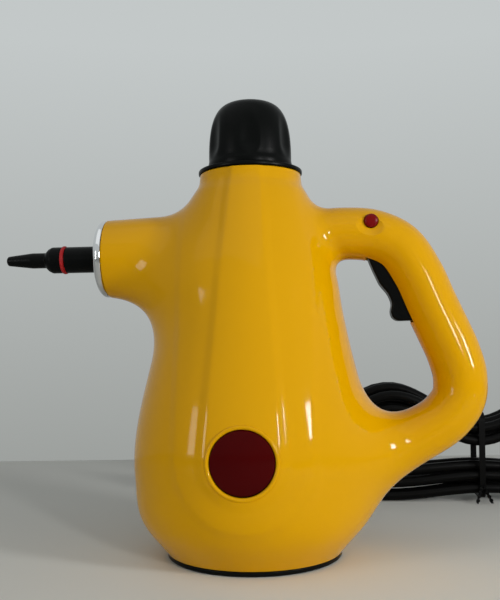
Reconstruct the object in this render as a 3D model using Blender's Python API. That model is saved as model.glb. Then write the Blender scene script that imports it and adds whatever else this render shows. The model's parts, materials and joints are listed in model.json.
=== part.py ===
"""Hand-held steam cleaner: a moulded clamshell with a spout and a loop handle round a small boiler.

Metres, +Z up. The origin is on the body's axis, on the surface that the base stands on.
+X points to the handle, -X to the nozzle, and -Y is the side with the pilot lamp.
"""
import math

import bmesh
import bpy
import numpy as np
from mathutils import Vector

MM = 0.001

# Driving sizes: fits
WALL = 2.5 * MM
GAP = 0.3 * MM
SEAM = 0.3 * MM

# Driving sizes: body, as height and radius down its outer side
BASE_Z = 3.0 * MM
BODY_TOP = 197.5 * MM
BASE_RADIUS = 45.5 * MM
BELLY_RADIUS = 61.8 * MM
BELLY_Z = 42.0 * MM
SHOULDER_RADIUS = 32.0 * MM
SHOULDER_Z = 182.0 * MM
NECK_RADIUS = 26.4 * MM
NECK_Z = 191.5 * MM
FLANK_RADIUS = 50.4 * MM
FLANK_Z = 111.0 * MM
HEEL_RADIUS = 57.4 * MM
HEEL_Z = 18.0 * MM

# Driving sizes: spout, handle and the raised tongues on the sides
SPOUT_Z = 155.5 * MM
SPOUT_RADIUS = 20.5 * MM
SPOUT_REACH = 75.5 * MM
SPOUT_FLARE = 0.045
SPOUT_BLEND = 14.0 * MM
SPOUT_UNDER = 35.0 * MM
HANDLE_DEPTH = 16.0 * MM
HANDLE_HALF = 13.5 * MM
HANDLE_BLEND = 9.0 * MM
HANDLE_UNDER = 29.0 * MM
HANDLE_MIDDLE = 112.0 * MM
HANDLE_ROUTE = ((34.0, 165.4), (49.0, 166.0), (63.0, 164.6), (75.2, 158.8), (85.6, 144.0), (92.0, 129.3),
                (98.0, 116.1), (103.2, 104.0), (106.5, 91.4), (105.7, 80.6), (99.2, 71.0), (87.8, 62.9),
                (72.3, 54.8), (50.5, 49.0))
TONGUE_STEP = 0.9 * MM
TONGUE_SOFT = 2.5 * MM
TONGUE_TOP_HALF = 8.5 * MM
TONGUE_END_HALF = 20.0 * MM
APRON_HALF = 33.5 * MM

# Driving sizes: lens, trigger and lock
LENS_Z = 55.5 * MM
LENS_RADIUS = 15.0 * MM
LENS_FLANGE = 2.5 * MM
PIVOT = (65.0 * MM, 163.0 * MM)
PIN_RADIUS = 2.0 * MM
TRIGGER_HALF = 5.5 * MM
HORN_RISE = 7.0 * MM
LOCK_AT = (61.8 * MM, 170.2 * MM)
LOCK_RADIUS = 3.5 * MM
LOCK_TRAVEL = 2.5 * MM
ROD_RADIUS = 2.0 * MM
VALVE_RADIUS = 7.5 * MM
VALVE_X = (19.5 * MM, 36.0 * MM)
SPRING_WIRE = 0.8 * MM
SPRING_TURNS = 5

# Driving sizes: boiler
BOILER_RADIUS = 44.0 * MM
BOILER_WALL = 2.5 * MM
BOILER_Z = 14.0 * MM
JOINT_Z = 57.0 * MM
FLANGE_WIDTH = 6.0 * MM
FLANGE_THICK = 3.0 * MM
GASKET_THICK = 1.7 * MM
FILLER_RADIUS = 16.5 * MM
FILLER_BORE = 12.5 * MM
FILLER_Z = 128.0 * MM
FILLER_TOP = 199.0 * MM
BOLT_RADIUS = 1.6 * MM
BOLT_COUNT = 4

# Driving sizes: cap, nozzle and base
COLLAR_RADIUS = 27.2 * MM
COLLAR_THICK = 2.0 * MM
CAP_RADIUS = 22.0 * MM
CAP_CROWN = 6.9 * MM
RELIEF_SPRING = 21.3 * MM
CAP_SCALLOPS = 6
SEAL_THICK = 2.0 * MM
STUB_RADIUS = 7.0 * MM
STUB_END = 109.0 * MM
TIP_RADIUS = 4.1 * MM
TIP_END = 132.6 * MM
O_RING_X = 100.6 * MM
O_RING_WIRE = 0.75 * MM
BEZEL_DEPTH = 4.5 * MM
STEAM_BORE = 1.5 * MM
PIPE_RADIUS = 3.2 * MM
FOOT_RADIUS = 43.0 * MM
POST_RADIUS = 4.0 * MM
POST_RING = 37.0 * MM

# Driving sizes: cord
CORD = 6.8 * MM
CORD_GAP = 0.5 * MM
GLAND_AZIMUTH = math.radians(70.0)
GLAND_Z = 22.0 * MM
GLAND_LENGTH = 30.0 * MM
GLAND_RADIUS = 6.0 * MM
GLAND_FLANGE = 7.6 * MM
GLAND_SEAT = 8.6 * MM
HANK_CENTRE = (144.0 * MM, 140.0 * MM)
HANK_RUN = 60.0 * MM
HANK_HALF = 38.0 * MM
HANK_STEP = 8.8 * MM
HANK_WAIST_TOP = 24.0 * MM
HANK_WAIST_FOOT = 4.0 * MM
HANK_TURNS = 7.0 + 21.5 / 24.0
LOOPS_PER_LAYER = 2
POINTS_PER_LOOP = 24
PLUG_RADIUS = 18.5 * MM
PLUG_PIN_RADIUS = 2.4 * MM
PLUG_PIN_PITCH = 19.0 * MM
PLUG_PIN_LENGTH = 19.0 * MM

HALF_COLUMNS = 20
HANDLE_RINGS = 22
SPOUT_RINGS = 5

for old in list(bpy.data.objects):
    bpy.data.objects.remove(old)


def material(name, red, green, blue, roughness, metallic=0.0):
    """A plain Principled finish for one kind of piece."""
    finish = bpy.data.materials.new(name)
    finish.use_nodes = True
    shader = finish.node_tree.nodes["Principled BSDF"]
    shader.inputs["Base Color"].default_value = (red, green, blue, 1.0)
    shader.inputs["Roughness"].default_value = roughness
    shader.inputs["Metallic"].default_value = metallic
    return finish


YELLOW = material("yellow_abs", 0.87, 0.50, 0.02, 0.15)
BLACK = material("black_abs", 0.02, 0.02, 0.02, 0.35)
RED = material("red_polycarbonate", 0.25, 0.02, 0.02, 0.1)
RUBBER = material("red_silicone", 0.55, 0.03, 0.03, 0.5)
CORD_PVC = material("black_pvc", 0.015, 0.015, 0.015, 0.4)
CHROME = material("chrome_plate", 0.85, 0.85, 0.86, 0.06, 1.0)
STEEL = material("stainless_steel", 0.62, 0.61, 0.59, 0.3, 1.0)
BRASS = material("brass", 0.75, 0.55, 0.22, 0.25, 1.0)
NYLON = material("natural_nylon", 0.8, 0.78, 0.7, 0.5)


def add(name, mesh, finish):
    """Puts a mesh or curve in the scene as one named piece."""
    if isinstance(mesh, bpy.types.Mesh):
        mesh.shade_smooth()
        mesh.set_sharp_from_angle(angle=math.radians(35))
    if finish:
        mesh.materials.append(finish)
    piece = bpy.data.objects.new(name, mesh)
    bpy.context.scene.collection.objects.link(piece)
    return piece


def mesh_of(name, points, faces):
    """A mesh from points and faces, with its faces turned outward."""
    bm = bmesh.new()
    made = [bm.verts.new(point) for point in points]
    for face in faces:
        bm.faces.new([made[k] for k in face])
    bmesh.ops.triangulate(bm, faces=[face for face in bm.faces if len(face.verts) == 4])
    bmesh.ops.recalc_face_normals(bm, faces=bm.faces)
    mesh = bpy.data.meshes.new(name)
    bm.to_mesh(mesh)
    bm.free()
    return mesh


def stand(piece, at, along):
    """Places a piece with its own Z axis along a direction."""
    piece.location = at
    piece.rotation_mode = "QUATERNION"
    piece.rotation_quaternion = Vector((0, 0, 1)).rotation_difference(Vector(along))
    return piece


def turned(name, outline, finish, at=(0, 0, 0), along=(0, 0, 1), sides=32):
    """A closed outline of (radius, distance along the axis) turned round its axis."""
    points, rings, faces = [], [], []
    for radius, reach in outline:
        count = sides if radius > 0 else 1
        rings.append(range(len(points), len(points) + count))
        for k in range(count):
            turn = 2 * math.pi * k / sides
            points.append((radius * math.cos(turn), radius * math.sin(turn), reach))
    for low, high in zip(rings, rings[1:] + rings[:1]):
        for k in range(sides):
            corners = [low[k % len(low)], low[(k + 1) % len(low)], high[(k + 1) % len(high)], high[k % len(high)]]
            corners = list(dict.fromkeys(corners))
            if len(corners) > 2:
                faces.append(corners)
    return stand(add(name, mesh_of(name, points, faces), finish), at, along)


def rod(name, radius, start, length, along, finish, sides=12, twist=0.0):
    """A plain round rod with flat ends."""
    turns = [2 * math.pi * (k + twist) / sides for k in range(sides)]
    points = [(radius * math.cos(turn), radius * math.sin(turn), reach) for reach in (0, length) for turn in turns]
    faces = [tuple(range(sides)), tuple(range(sides, 2 * sides))]
    faces += [(k, (k + 1) % sides, sides + (k + 1) % sides, sides + k) for k in range(sides)]
    return stand(add(name, mesh_of(name, points, faces), finish), start, along)


def drill(name, radius, start, length, along, sides=9):
    """A round cutter, twisted so that its edges miss those of the boss it bores."""
    return rod(name, radius, start, length, along, None, sides, twist=0.21)


def ring_outline(inner, outer, low, high):
    """The square section of a flat ring."""
    return ((inner, high), (outer, high), (outer, low), (inner, low))


def prism(name, outline, low, high, finish):
    """An outline in the XZ plane, drawn out along Y."""
    count = len(outline)
    points = [(x, low, z) for x, z in outline] + [(x, high, z) for x, z in outline]
    faces = [tuple(range(count)), tuple(range(count, 2 * count))]
    faces += [(k, (k + 1) % count, count + (k + 1) % count, count + k) for k in range(count)]
    return add(name, mesh_of(name, points, faces), finish)


def tube(name, route, radius, finish, resolution=2):
    """A round tube with filled ends along a list of points."""
    curve = bpy.data.curves.new(name, "CURVE")
    curve.dimensions = "3D"
    curve.bevel_depth = radius
    curve.bevel_resolution = resolution
    curve.use_fill_caps = True
    spline = curve.splines.new("POLY")
    spline.points.add(len(route) - 1)
    for point, place in zip(spline.points, route):
        point.co = (*place, 1.0)
    return add(name, curve, finish)


def boolean(target, tool, operation):
    """Keeps a live Boolean on the target and hides its tool."""
    step = target.modifiers.new(operation.lower(), "BOOLEAN")
    step.operation = operation
    step.object = tool
    tool.hide_render = True
    tool.display_type = "WIRE"


def cut(target, *tools):
    for tool in tools:
        boolean(target, tool, "DIFFERENCE")


def fuse(target, *tools):
    for tool in tools:
        boolean(target, tool, "UNION")


def gather(name, tools):
    """Puts several tools that don't touch into one."""
    bm = bmesh.new()
    for tool in tools:
        shape = tool.data.copy()
        shape.transform(tool.matrix_basis)
        bm.from_mesh(shape)
        bpy.data.objects.remove(tool)
    mesh = bpy.data.meshes.new(name)
    bm.to_mesh(mesh)
    bm.free()
    return add(name, mesh, None)


def hermite(stations, values, at):
    """A smooth curve through values at rising stations."""
    stations = np.asarray(stations)
    values = np.asarray(values)
    slope = np.gradient(values, stations, axis=0)
    at = np.clip(at, stations[0], stations[-1])
    k = np.clip(np.searchsorted(stations, at, side="right") - 1, 0, len(stations) - 2)
    span = stations[k + 1] - stations[k]
    t = (at - stations[k]) / span
    if values.ndim > 1:
        t = t[:, None]
        span = span[:, None]
    rise = values[k + 1] - values[k]
    return values[k] + t * (slope[k] * span + t * (3 * rise - span * (2 * slope[k] + slope[k + 1])
                                                   + t * (span * (slope[k] + slope[k + 1]) - 2 * rise)))


def smooth_route(points, spacing):
    """Points read at an even spacing from a smooth curve through a route's own points."""
    points = np.asarray(points, dtype=float)
    reach = np.concatenate(([0.0], np.cumsum(np.linalg.norm(np.diff(points, axis=0), axis=1))))
    count = max(2, int(round(reach[-1] / spacing)) + 1)
    return hermite(reach, points, np.linspace(0.0, reach[-1], count))


def led_route(points, spacing):
    """A smooth route whose two ends stay straight from their first point to their second."""
    points = [tuple(point) for point in points]
    return [points[0], *map(tuple, smooth_route(points[1:-1], spacing)), points[-1]]


# The skin of the housing is where this blend of a turned body, a spout and a handle is zero
BODY_STATIONS = (BASE_Z, HEEL_Z, BELLY_Z, FLANK_Z, SHOULDER_Z, (SHOULDER_Z + NECK_Z) / 2, NECK_Z, BODY_TOP)
BODY_RADII = (BASE_RADIUS, HEEL_RADIUS, BELLY_RADIUS, FLANK_RADIUS, SHOULDER_RADIUS,
              SHOULDER_RADIUS - 2.0 * MM, NECK_RADIUS + 1.0 * MM, NECK_RADIUS)
HANDLE_PATH = smooth_route([(x * MM, z * MM) for x, z in HANDLE_ROUTE], 1.0 * MM)


def soft_step(distance, softness):
    """Goes from 1 inside an edge to 0 outside it."""
    t = np.clip(0.5 - 0.5 * distance / softness, 0.0, 1.0)
    return t * t * (3.0 - 2.0 * t)


def side_relief(x, z):
    """Two nested tongues that run down each side and end round the lens."""
    above = np.clip((z - LENS_Z) / (BODY_TOP - LENS_Z), 0.0, 1.0)
    half = TONGUE_END_HALF + (TONGUE_TOP_HALF - TONGUE_END_HALF) * above
    reach = np.hypot(x, np.minimum(z - LENS_Z, 0.0))
    return TONGUE_STEP * (soft_step(reach - half, TONGUE_SOFT) + soft_step(reach - APRON_HALF, TONGUE_SOFT))


def blend(a, b, width):
    """The smaller of two distances, with a fillet where they are close."""
    near = np.maximum(width - np.abs(a - b), 0.0) / width
    return np.minimum(a, b) - near * near * width / 4.0


def root_blend(z):
    """The fillet at the handle's two roots, wider at the lower one."""
    return HANDLE_BLEND + (HANDLE_UNDER - HANDLE_BLEND) * soft_step(z - HANDLE_MIDDLE, 30.0 * MM)


def skin(points):
    """Signed distance, near enough, from the housing's outer surface."""
    x, y, z = points.T
    across = np.hypot(x, y)
    facing = np.clip((np.abs(y) / np.maximum(across, 1e-9) - 0.2) / 0.5, 0.0, 1.0)
    body = across - hermite(BODY_STATIONS, BODY_RADII, z) - facing * side_relief(x, z)
    spout = np.sqrt(y ** 2 + (z - SPOUT_Z) ** 2 + np.maximum(x, 0.0) ** 2) - SPOUT_RADIUS
    spout -= SPOUT_FLARE * np.clip(x + SPOUT_REACH, 0.0, SPOUT_REACH)
    off = np.sqrt(((points[:, None, (0, 2)] - HANDLE_PATH[None]) ** 2).sum(2).min(1))
    grip = (np.sqrt((off / HANDLE_HALF) ** 2 + (y / HANDLE_DEPTH) ** 2) - 1.0) * HANDLE_HALF
    under = SPOUT_BLEND + (SPOUT_UNDER - SPOUT_BLEND) * soft_step(z - SPOUT_Z, SPOUT_RADIUS)
    return blend(blend(body, spout, under), grip, root_blend(z))


def skin_normals(points):
    """The skin's gradient, by small steps."""
    step = 0.02 * MM
    slopes = [(skin(points + step * axis) - skin(points - step * axis)) / (2 * step) for axis in np.eye(3)]
    return np.stack(slopes, axis=1)


def settle(points, free, seam):
    """Moves the free points onto the skin, and keeps the seam in its plane."""
    slope = skin_normals(points)
    move = slope * (skin(points) / np.maximum((slope ** 2).sum(1), 0.05))[:, None]
    points = points - np.where(free[:, None], np.clip(move, -2.0 * MM, 2.0 * MM), 0.0)
    points[seam, 1] = 0.0
    return points


def skin_half():
    """A grid over the lamp side of the skin: the body's rows and columns, the spout and the handle."""
    rows = [BASE_Z, 9.0 * MM, 17.0 * MM, 27.0 * MM, 42.0 * MM, 58.0 * MM, 73.0 * MM, 88.0 * MM, 103.0 * MM,
            118.0 * MM, 131.0 * MM, 143.5 * MM, 156.0 * MM, 168.5 * MM, SHOULDER_Z + 1.0 * MM, SHOULDER_Z + 5.0 * MM,
            NECK_Z, BODY_TOP]
    last = HALF_COLUMNS
    holes = {"spout": (10, 14, 0, 4), "handle_top": (11, 14, last - 3, last), "handle_foot": (3, 6, last - 3, last)}
    points, faces, index, seam, rim, loose = [], [], {}, [], [], []

    def place(point, on_seam, on_rim=False, is_loose=False):
        points.append(point)
        seam.append(on_seam)
        rim.append(on_rim)
        loose.append(is_loose)
        return len(points) - 1

    def inside(row, column, strict):
        for low, high, left, right in holes.values():
            if strict:
                free_left = left == 0 or column > left
                free_right = right == last or column < right
                if low < row < high and left <= column <= right and free_left and free_right:
                    return True
            elif low <= row < high and left <= column < right:
                return True
        return False

    def near_hole(row, column):
        return any(low - 1 <= row <= high + 1 and left - 1 <= column <= right + 1
                   for low, high, left, right in holes.values())

    radii = hermite(BODY_STATIONS, BODY_RADII, np.array(rows))
    for row, (z, radius) in enumerate(zip(rows, radii)):
        for column in range(last + 1):
            if inside(row, column, True):
                continue
            turn = math.pi * column / last
            on_rim = row in (0, len(rows) - 1)
            index[row, column] = place((-radius * math.cos(turn), -radius * math.sin(turn), z),
                                       column in (0, last), on_rim, near_hole(row, column) and not on_rim)
    for row in range(len(rows) - 1):
        for column in range(last):
            if not inside(row, column, False):
                faces.append((index[row, column], index[row, column + 1],
                              index[row + 1, column + 1], index[row + 1, column]))

    def edge_of(name, from_top):
        low, high, left, right = holes[name]
        out = range(left, right + 1) if left == 0 else range(right, left - 1, -1)
        side = out[-1]
        first, final = (high, low) if from_top else (low, high)
        step = -1 if from_top else 1
        path = [(first, column) for column in out]
        path += [(row, side) for row in range(first + step, final, step)]
        path += [(final, column) for column in reversed(out)]
        return [index[key] for key in path]

    def ring(centre, outward, half, depth, count, is_rim):
        made = []
        for k in range(count):
            turn = math.pi * k / (count - 1)
            x, z = centre + outward * half * math.cos(turn)
            made.append(place((x, -depth * math.sin(turn), z), k in (0, count - 1), is_rim, not is_rim))
        return made

    def bridge(low, high):
        for k in range(len(low) - 1):
            faces.append((low[k], low[k + 1], high[k + 1], high[k]))

    before = edge_of("spout", True)
    for x in np.linspace(-SPOUT_REACH + 30.0 * MM, -SPOUT_REACH, SPOUT_RINGS):
        after = ring(np.array((x, SPOUT_Z)), np.array((0.0, 1.0)), SPOUT_RADIUS, SPOUT_RADIUS, len(before),
                     x <= -SPOUT_REACH)
        bridge(before, after)
        before = after

    clear = HANDLE_PATH[:, 0] > np.interp(HANDLE_PATH[:, 1], rows, radii) + 9.0 * MM
    outer_path = HANDLE_PATH[clear]
    stations = np.linspace(0, len(outer_path) - 1, HANDLE_RINGS).astype(int)
    before = edge_of("handle_top", True)
    foot = edge_of("handle_foot", False)
    for k in stations:
        ahead = outer_path[min(k + 1, len(outer_path) - 1)] - outer_path[max(k - 1, 0)]
        ahead = ahead / np.linalg.norm(ahead)
        after = ring(outer_path[k], np.array((-ahead[1], ahead[0])), HANDLE_HALF, HANDLE_DEPTH, len(before), False)
        bridge(before, after)
        before = after
    bridge(before, foot)

    points = np.array(points)
    seam = np.array(seam)
    rim = np.array(rim)
    loose = np.array(loose)
    edges = np.array(sorted({tuple(sorted(pair)) for face in faces for pair in zip(face, face[1:] + face[:1])}))
    valence = np.bincount(edges.ravel(), minlength=len(points))[:, None]
    for sweep in range(40):
        total = np.zeros_like(points)
        np.add.at(total, edges[:, 0], points[edges[:, 1]])
        np.add.at(total, edges[:, 1], points[edges[:, 0]])
        points = np.where(loose[:, None], 0.5 * points + 0.5 * total / valence, points)
        points = settle(points, ~rim, seam)
    for sweep in range(6):
        points = settle(points, ~rim, seam)
    return points, faces, seam


def housing(name, side, half_skin):
    """One shell half: the skin, an inner skin one wall inside it, and the edges between them."""
    points, faces, seam = half_skin
    normals = skin_normals(points)
    normals /= np.linalg.norm(normals, axis=1)[:, None]
    inner = points - WALL * normals
    both = np.concatenate((points, inner))
    both[:, 1] = np.where(np.concatenate((seam, seam)), -SEAM / 2, np.minimum(both[:, 1], -SEAM / 2))
    count = len(points)
    uses = {}
    for face in faces:
        for pair in zip(face, face[1:] + face[:1]):
            uses.setdefault(tuple(sorted(pair)), []).append(pair)
    rims = [pairs[0] for pairs in uses.values() if len(pairs) == 1]
    shell = list(faces)
    shell += [tuple(k + count for k in reversed(face)) for face in faces]
    shell += [(b, a, a + count, b + count) for a, b in rims]
    both[:, 1] *= -side
    return add(name, mesh_of(name, both, shell), YELLOW)


def wall_at(x, z):
    """How far from the seam the outer skin is, at a point of the side view."""
    low, high = 0.0, 0.09
    for halving in range(40):
        middle = (low + high) / 2
        if skin(np.array([(x, middle, z)]))[0] < 0:
            low = middle
        else:
            high = middle
    return low


def boss_end(x, z, radius):
    """Where a round boss stops inside the wall, for all of its rim."""
    turns = np.linspace(0, 2 * math.pi, 13)
    return min(wall_at(x + radius * math.cos(turn), z + radius * math.sin(turn)) for turn in turns) - 0.6 * MM


half_skin = skin_half()
left = housing("housing_left", -1, half_skin)
right = housing("housing_right", 1, half_skin)

# Screws join the halves from the far side, through bosses
SCREW_PLACES = ((-46.3, 101.0), (46.3, 105.0), (-57.0, 142.0), (107.0, 92.0), (82.0, 60.5))
SCREW_BOSS = 4.4 * MM
SCREW_HEAD = 3.2 * MM
SCREW_SHANK = 1.5 * MM
HEAD_SEAT = 6.0 * MM
BOSS_START = SEAM / 2 + 0.2 * MM
left_bosses, right_bosses, left_holes, right_holes, right_recesses = [], [], [], [], []
for number, (x, z) in enumerate(SCREW_PLACES, 1):
    x, z = x * MM, z * MM
    end = boss_end(x, z, SCREW_BOSS)
    left_bosses.append(rod("boss", SCREW_BOSS, (x, -BOSS_START, z), end - BOSS_START, (0, -1, 0), None))
    right_bosses.append(rod("boss", SCREW_BOSS, (x, BOSS_START, z), end - BOSS_START, (0, 1, 0), None))
    depth = min(8.0 * MM, end - 2.0 * MM)
    left_holes.append(drill("pilot", SCREW_SHANK + GAP, (x, SEAM, z), depth + SEAM, (0, -1, 0)))
    right_holes.append(drill("pilot", SCREW_SHANK + GAP, (x, -SEAM, z), HEAD_SEAT + 2 * SEAM, (0, 1, 0)))
    right_recesses.append(drill("recess", SCREW_HEAD + GAP, (x, HEAD_SEAT, z), 0.09, (0, 1, 0), 13))
    turned(f"housing_screw_{number}", ((0, 0), (SCREW_SHANK, 0), (SCREW_SHANK, HEAD_SEAT + depth - GAP),
                                       (SCREW_HEAD, HEAD_SEAT + depth - GAP), (SCREW_HEAD, HEAD_SEAT + depth + 1.6 * MM),
                                       (0, HEAD_SEAT + depth + 2.2 * MM)), STEEL,
           (x, GAP - depth, z), (0, 1, 0), 12)


def body_radius(z):
    return float(hermite(BODY_STATIONS, BODY_RADII, np.array([z]))[0])


# Base plate, with posts that carry the boiler
FOOT_LIP = BASE_RADIUS - 0.3 * MM
SPIGOT = BASE_RADIUS - WALL - 0.6 * MM
FLOOR = BASE_Z
base = turned("base_plate", ((0, 0), (FOOT_RADIUS, 0), (FOOT_LIP, 0.8 * MM), (FOOT_LIP, BASE_Z - GAP),
                             (SPIGOT, BASE_Z - GAP), (SPIGOT, BASE_Z + 5.0 * MM), (SPIGOT - 2.0 * MM, BASE_Z + 5.0 * MM),
                             (SPIGOT - 2.0 * MM, FLOOR), (0, FLOOR)), BLACK, sides=28)
for number in range(3):
    turn = 2 * math.pi * (number + 0.5) / 3
    spot = (POST_RING * math.cos(turn), POST_RING * math.sin(turn), 1.0 * MM)
    fuse(base, rod(f"post_{number}", POST_RADIUS, spot, BOILER_Z - GAP - 1.0 * MM, (0, 0, 1), None))

# Boiler: a drawn bowl and a dome bolted at a flange, with the filler's neck on top
BOILER_IN = BOILER_RADIUS - BOILER_WALL
FLANGE_RADIUS = BOILER_RADIUS + FLANGE_WIDTH
CORNER = 6.0 * MM
bowl_outline = [(0, BOILER_Z), (BOILER_RADIUS - CORNER, BOILER_Z), (BOILER_RADIUS - CORNER * 0.3, BOILER_Z + CORNER * 0.3),
                (BOILER_RADIUS, BOILER_Z + CORNER), (BOILER_RADIUS, JOINT_Z - FLANGE_THICK),
                (FLANGE_RADIUS, JOINT_Z - FLANGE_THICK), (FLANGE_RADIUS, JOINT_Z), (BOILER_IN, JOINT_Z),
                (BOILER_IN, BOILER_Z + CORNER), (BOILER_IN - CORNER * 0.7, BOILER_Z + BOILER_WALL), (0, BOILER_Z + BOILER_WALL)]
lower = turned("boiler_bowl", bowl_outline, STEEL, sides=24)
DOME_Z = JOINT_Z + GASKET_THICK + 2 * GAP
gasket = turned("boiler_gasket", ring_outline(BOILER_IN, FLANGE_RADIUS, JOINT_Z + GAP, JOINT_Z + GAP + GASKET_THICK), RUBBER, sides=24)
DOME_FOOT = DOME_Z + FLANGE_THICK + 8.0 * MM
dome_steps = 5
dome_out, dome_in = [], []
for k in range(dome_steps + 1):
    rise = math.sin(math.pi / 2 * k / dome_steps)
    draw = 1.0 - math.cos(math.pi / 2 * k / dome_steps)
    z = DOME_FOOT + (FILLER_Z - DOME_FOOT) * rise
    dome_out.append((BOILER_RADIUS + (FILLER_RADIUS - BOILER_RADIUS) * draw, z))
    dome_in.append((BOILER_IN + (FILLER_BORE - BOILER_IN) * draw, z - BOILER_WALL * rise))
dome_outline = [(FLANGE_RADIUS, DOME_Z), (FLANGE_RADIUS, DOME_Z + FLANGE_THICK), (BOILER_RADIUS, DOME_Z + FLANGE_THICK)]
dome_outline += dome_out
dome_outline += [(FILLER_BORE, FILLER_Z)]
dome_outline += list(reversed(dome_in))
dome_outline += [(BOILER_IN, DOME_Z)]
dome = turned("boiler_dome", dome_outline, STEEL, sides=24)
turned("neck_tube", ring_outline(FILLER_BORE, FILLER_RADIUS, FILLER_Z + GAP, FILLER_TOP), STEEL, sides=24)
BOLT_RING = (BOILER_RADIUS + FLANGE_RADIUS) / 2
for number in range(BOLT_COUNT):
    turn = 2 * math.pi * (number + 0.4) / BOLT_COUNT
    spot = (BOLT_RING * math.cos(turn), BOLT_RING * math.sin(turn))
    length = DOME_Z + 2 * FLANGE_THICK - JOINT_Z + 4.0 * MM
    hole = drill(f"bolt_hole_{number}", BOLT_RADIUS + GAP / 2, (*spot, JOINT_Z - FLANGE_THICK - 1.0 * MM), length,
                 (0, 0, 1), 8)
    for target in (lower, gasket, dome):
        cut(target, hole)
    bolt_top = DOME_Z + FLANGE_THICK + GAP
    bolt_low = JOINT_Z - FLANGE_THICK
    turned(f"boiler_bolt_{number + 1}", ((0, bolt_low), (BOLT_RADIUS, bolt_low), (BOLT_RADIUS, bolt_top),
                                         (BOLT_RADIUS * 1.7, bolt_top), (BOLT_RADIUS * 1.7, bolt_top + 2.0 * MM),
                                         (0, bolt_top + 2.0 * MM)), STEEL, (*spot, 0), sides=8)

# Heater, thermostat, fuse and terminals under the bowl
HEATER_RING = 28.0 * MM
HEATER_RADIUS = 3.6 * MM
heater_z = BOILER_Z - GAP - HEATER_RADIUS
heater = [(HEATER_RING * math.cos(turn), HEATER_RING * math.sin(turn), heater_z)
          for turn in np.linspace(math.radians(20), math.radians(340), 25)]
tube("heating_element", heater, HEATER_RADIUS, STEEL, 1)
turned("thermostat", ((0, 9.0 * MM), (7.0 * MM, 9.0 * MM), (8.0 * MM, 10.0 * MM), (8.0 * MM, BOILER_Z - GAP),
                      (0, BOILER_Z - GAP)), STEEL, sides=24)
rod("thermal_fuse", 2.5 * MM, (-8.0 * MM, 16.0 * MM, BOILER_Z - GAP - 2.5 * MM), 16.0 * MM, (1, 0, 0), NYLON, 12)


def block(name, low, high, finish, bevel):
    """A box with eased edges, from its lowest to its highest corner."""
    outline = [(low[0], low[2]), (high[0], low[2]), (high[0], high[2]), (low[0], high[2])]
    piece = prism(name, outline, low[1], high[1], finish)
    ease = piece.modifiers.new("ease", "BEVEL")
    ease.width = bevel
    ease.segments = 1
    return piece


block("terminal_block", (-11.0 * MM, -20.0 * MM, FLOOR + GAP), (11.0 * MM, -12.0 * MM, FLOOR + 6.5 * MM), NYLON, 0.6 * MM)

# Filler collar and cap
HUB = NECK_RADIUS - WALL - GAP
collar_low = BODY_TOP + GAP
collar_top = collar_low + COLLAR_THICK
turned("filler_collar", ((FILLER_RADIUS + GAP, collar_top), (COLLAR_RADIUS - 0.6 * MM, collar_top),
                         (COLLAR_RADIUS, collar_top - 0.6 * MM), (COLLAR_RADIUS, collar_low), (HUB, collar_low),
                         (HUB, collar_low - 7.0 * MM), (FILLER_RADIUS + GAP, collar_low - 7.0 * MM)), BLACK, sides=28)
seal_low = max(FILLER_TOP, collar_top) + GAP
seal_top = seal_low + SEAL_THICK
turned("cap_seal", ring_outline(FILLER_BORE - 0.5 * MM, FILLER_RADIUS, seal_low, seal_top), RUBBER)
PLUG_STEM = FILLER_BORE - 0.8 * MM
POPPET_BORE = 4.0 * MM
stem_low = seal_low - 13.0 * MM
plug_top = seal_top + GAP + 3.0 * MM
turned("cap_plug", ((POPPET_BORE, plug_top), (CAP_RADIUS - 4.0 * MM, plug_top), (CAP_RADIUS - 4.0 * MM, seal_top + GAP),
                    (PLUG_STEM, seal_top + GAP), (PLUG_STEM, stem_low), (POPPET_BORE, stem_low)), BRASS)
POPPET_HEAD = 6.0 * MM
turned("relief_poppet", ((0, stem_low + 2.0 * MM), (POPPET_BORE - GAP, stem_low + 2.0 * MM),
                         (POPPET_BORE - GAP, plug_top + GAP), (POPPET_HEAD, plug_top + GAP),
                         (POPPET_HEAD, plug_top + 2.0 * MM), (0, plug_top + 2.0 * MM)), BRASS, sides=20)
cap_low = seal_low + 0.6 * MM
CAP_WALL = 2.2 * MM
SKIRT = 2.5 * MM
spring_low = plug_top + 2.0 * MM + GAP
spring_top = spring_low + RELIEF_SPRING
CAP_TOP = spring_top + CAP_CROWN
cap_in = CAP_RADIUS - CAP_WALL - 1.2 * MM
well = POPPET_HEAD + 1.2 * MM
dome_low = cap_low + SKIRT + 1.5 * MM
dome_height = CAP_TOP - dome_low
DOME_SHARE = 0.985
cap_outline = [(cap_in, cap_low), (CAP_RADIUS, cap_low), (CAP_RADIUS, cap_low + SKIRT)]
for k in range(6):
    t = math.pi / 2 * k / 6
    cap_outline.append((CAP_RADIUS * DOME_SHARE * math.cos(t) ** 0.48, dome_low + dome_height * math.sin(t) ** 0.75))
cap_outline += [(0, CAP_TOP), (0, spring_top + GAP), (well, spring_top + GAP), (well, plug_top + 2 * GAP),
                (cap_in, plug_top + GAP)]
cap = turned("filler_cap", cap_outline, BLACK, sides=28)
SCALLOP_RADIUS = 14.0 * MM
SCALLOP_DEPTH = 1.0 * MM
SCALLOP_RISE = 2.0 * MM
SCALLOP_FOOT = 9.0 * MM
SCALLOP_LEAN = 0.05
SCALLOP_TURN = math.radians(-86.0)
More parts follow.
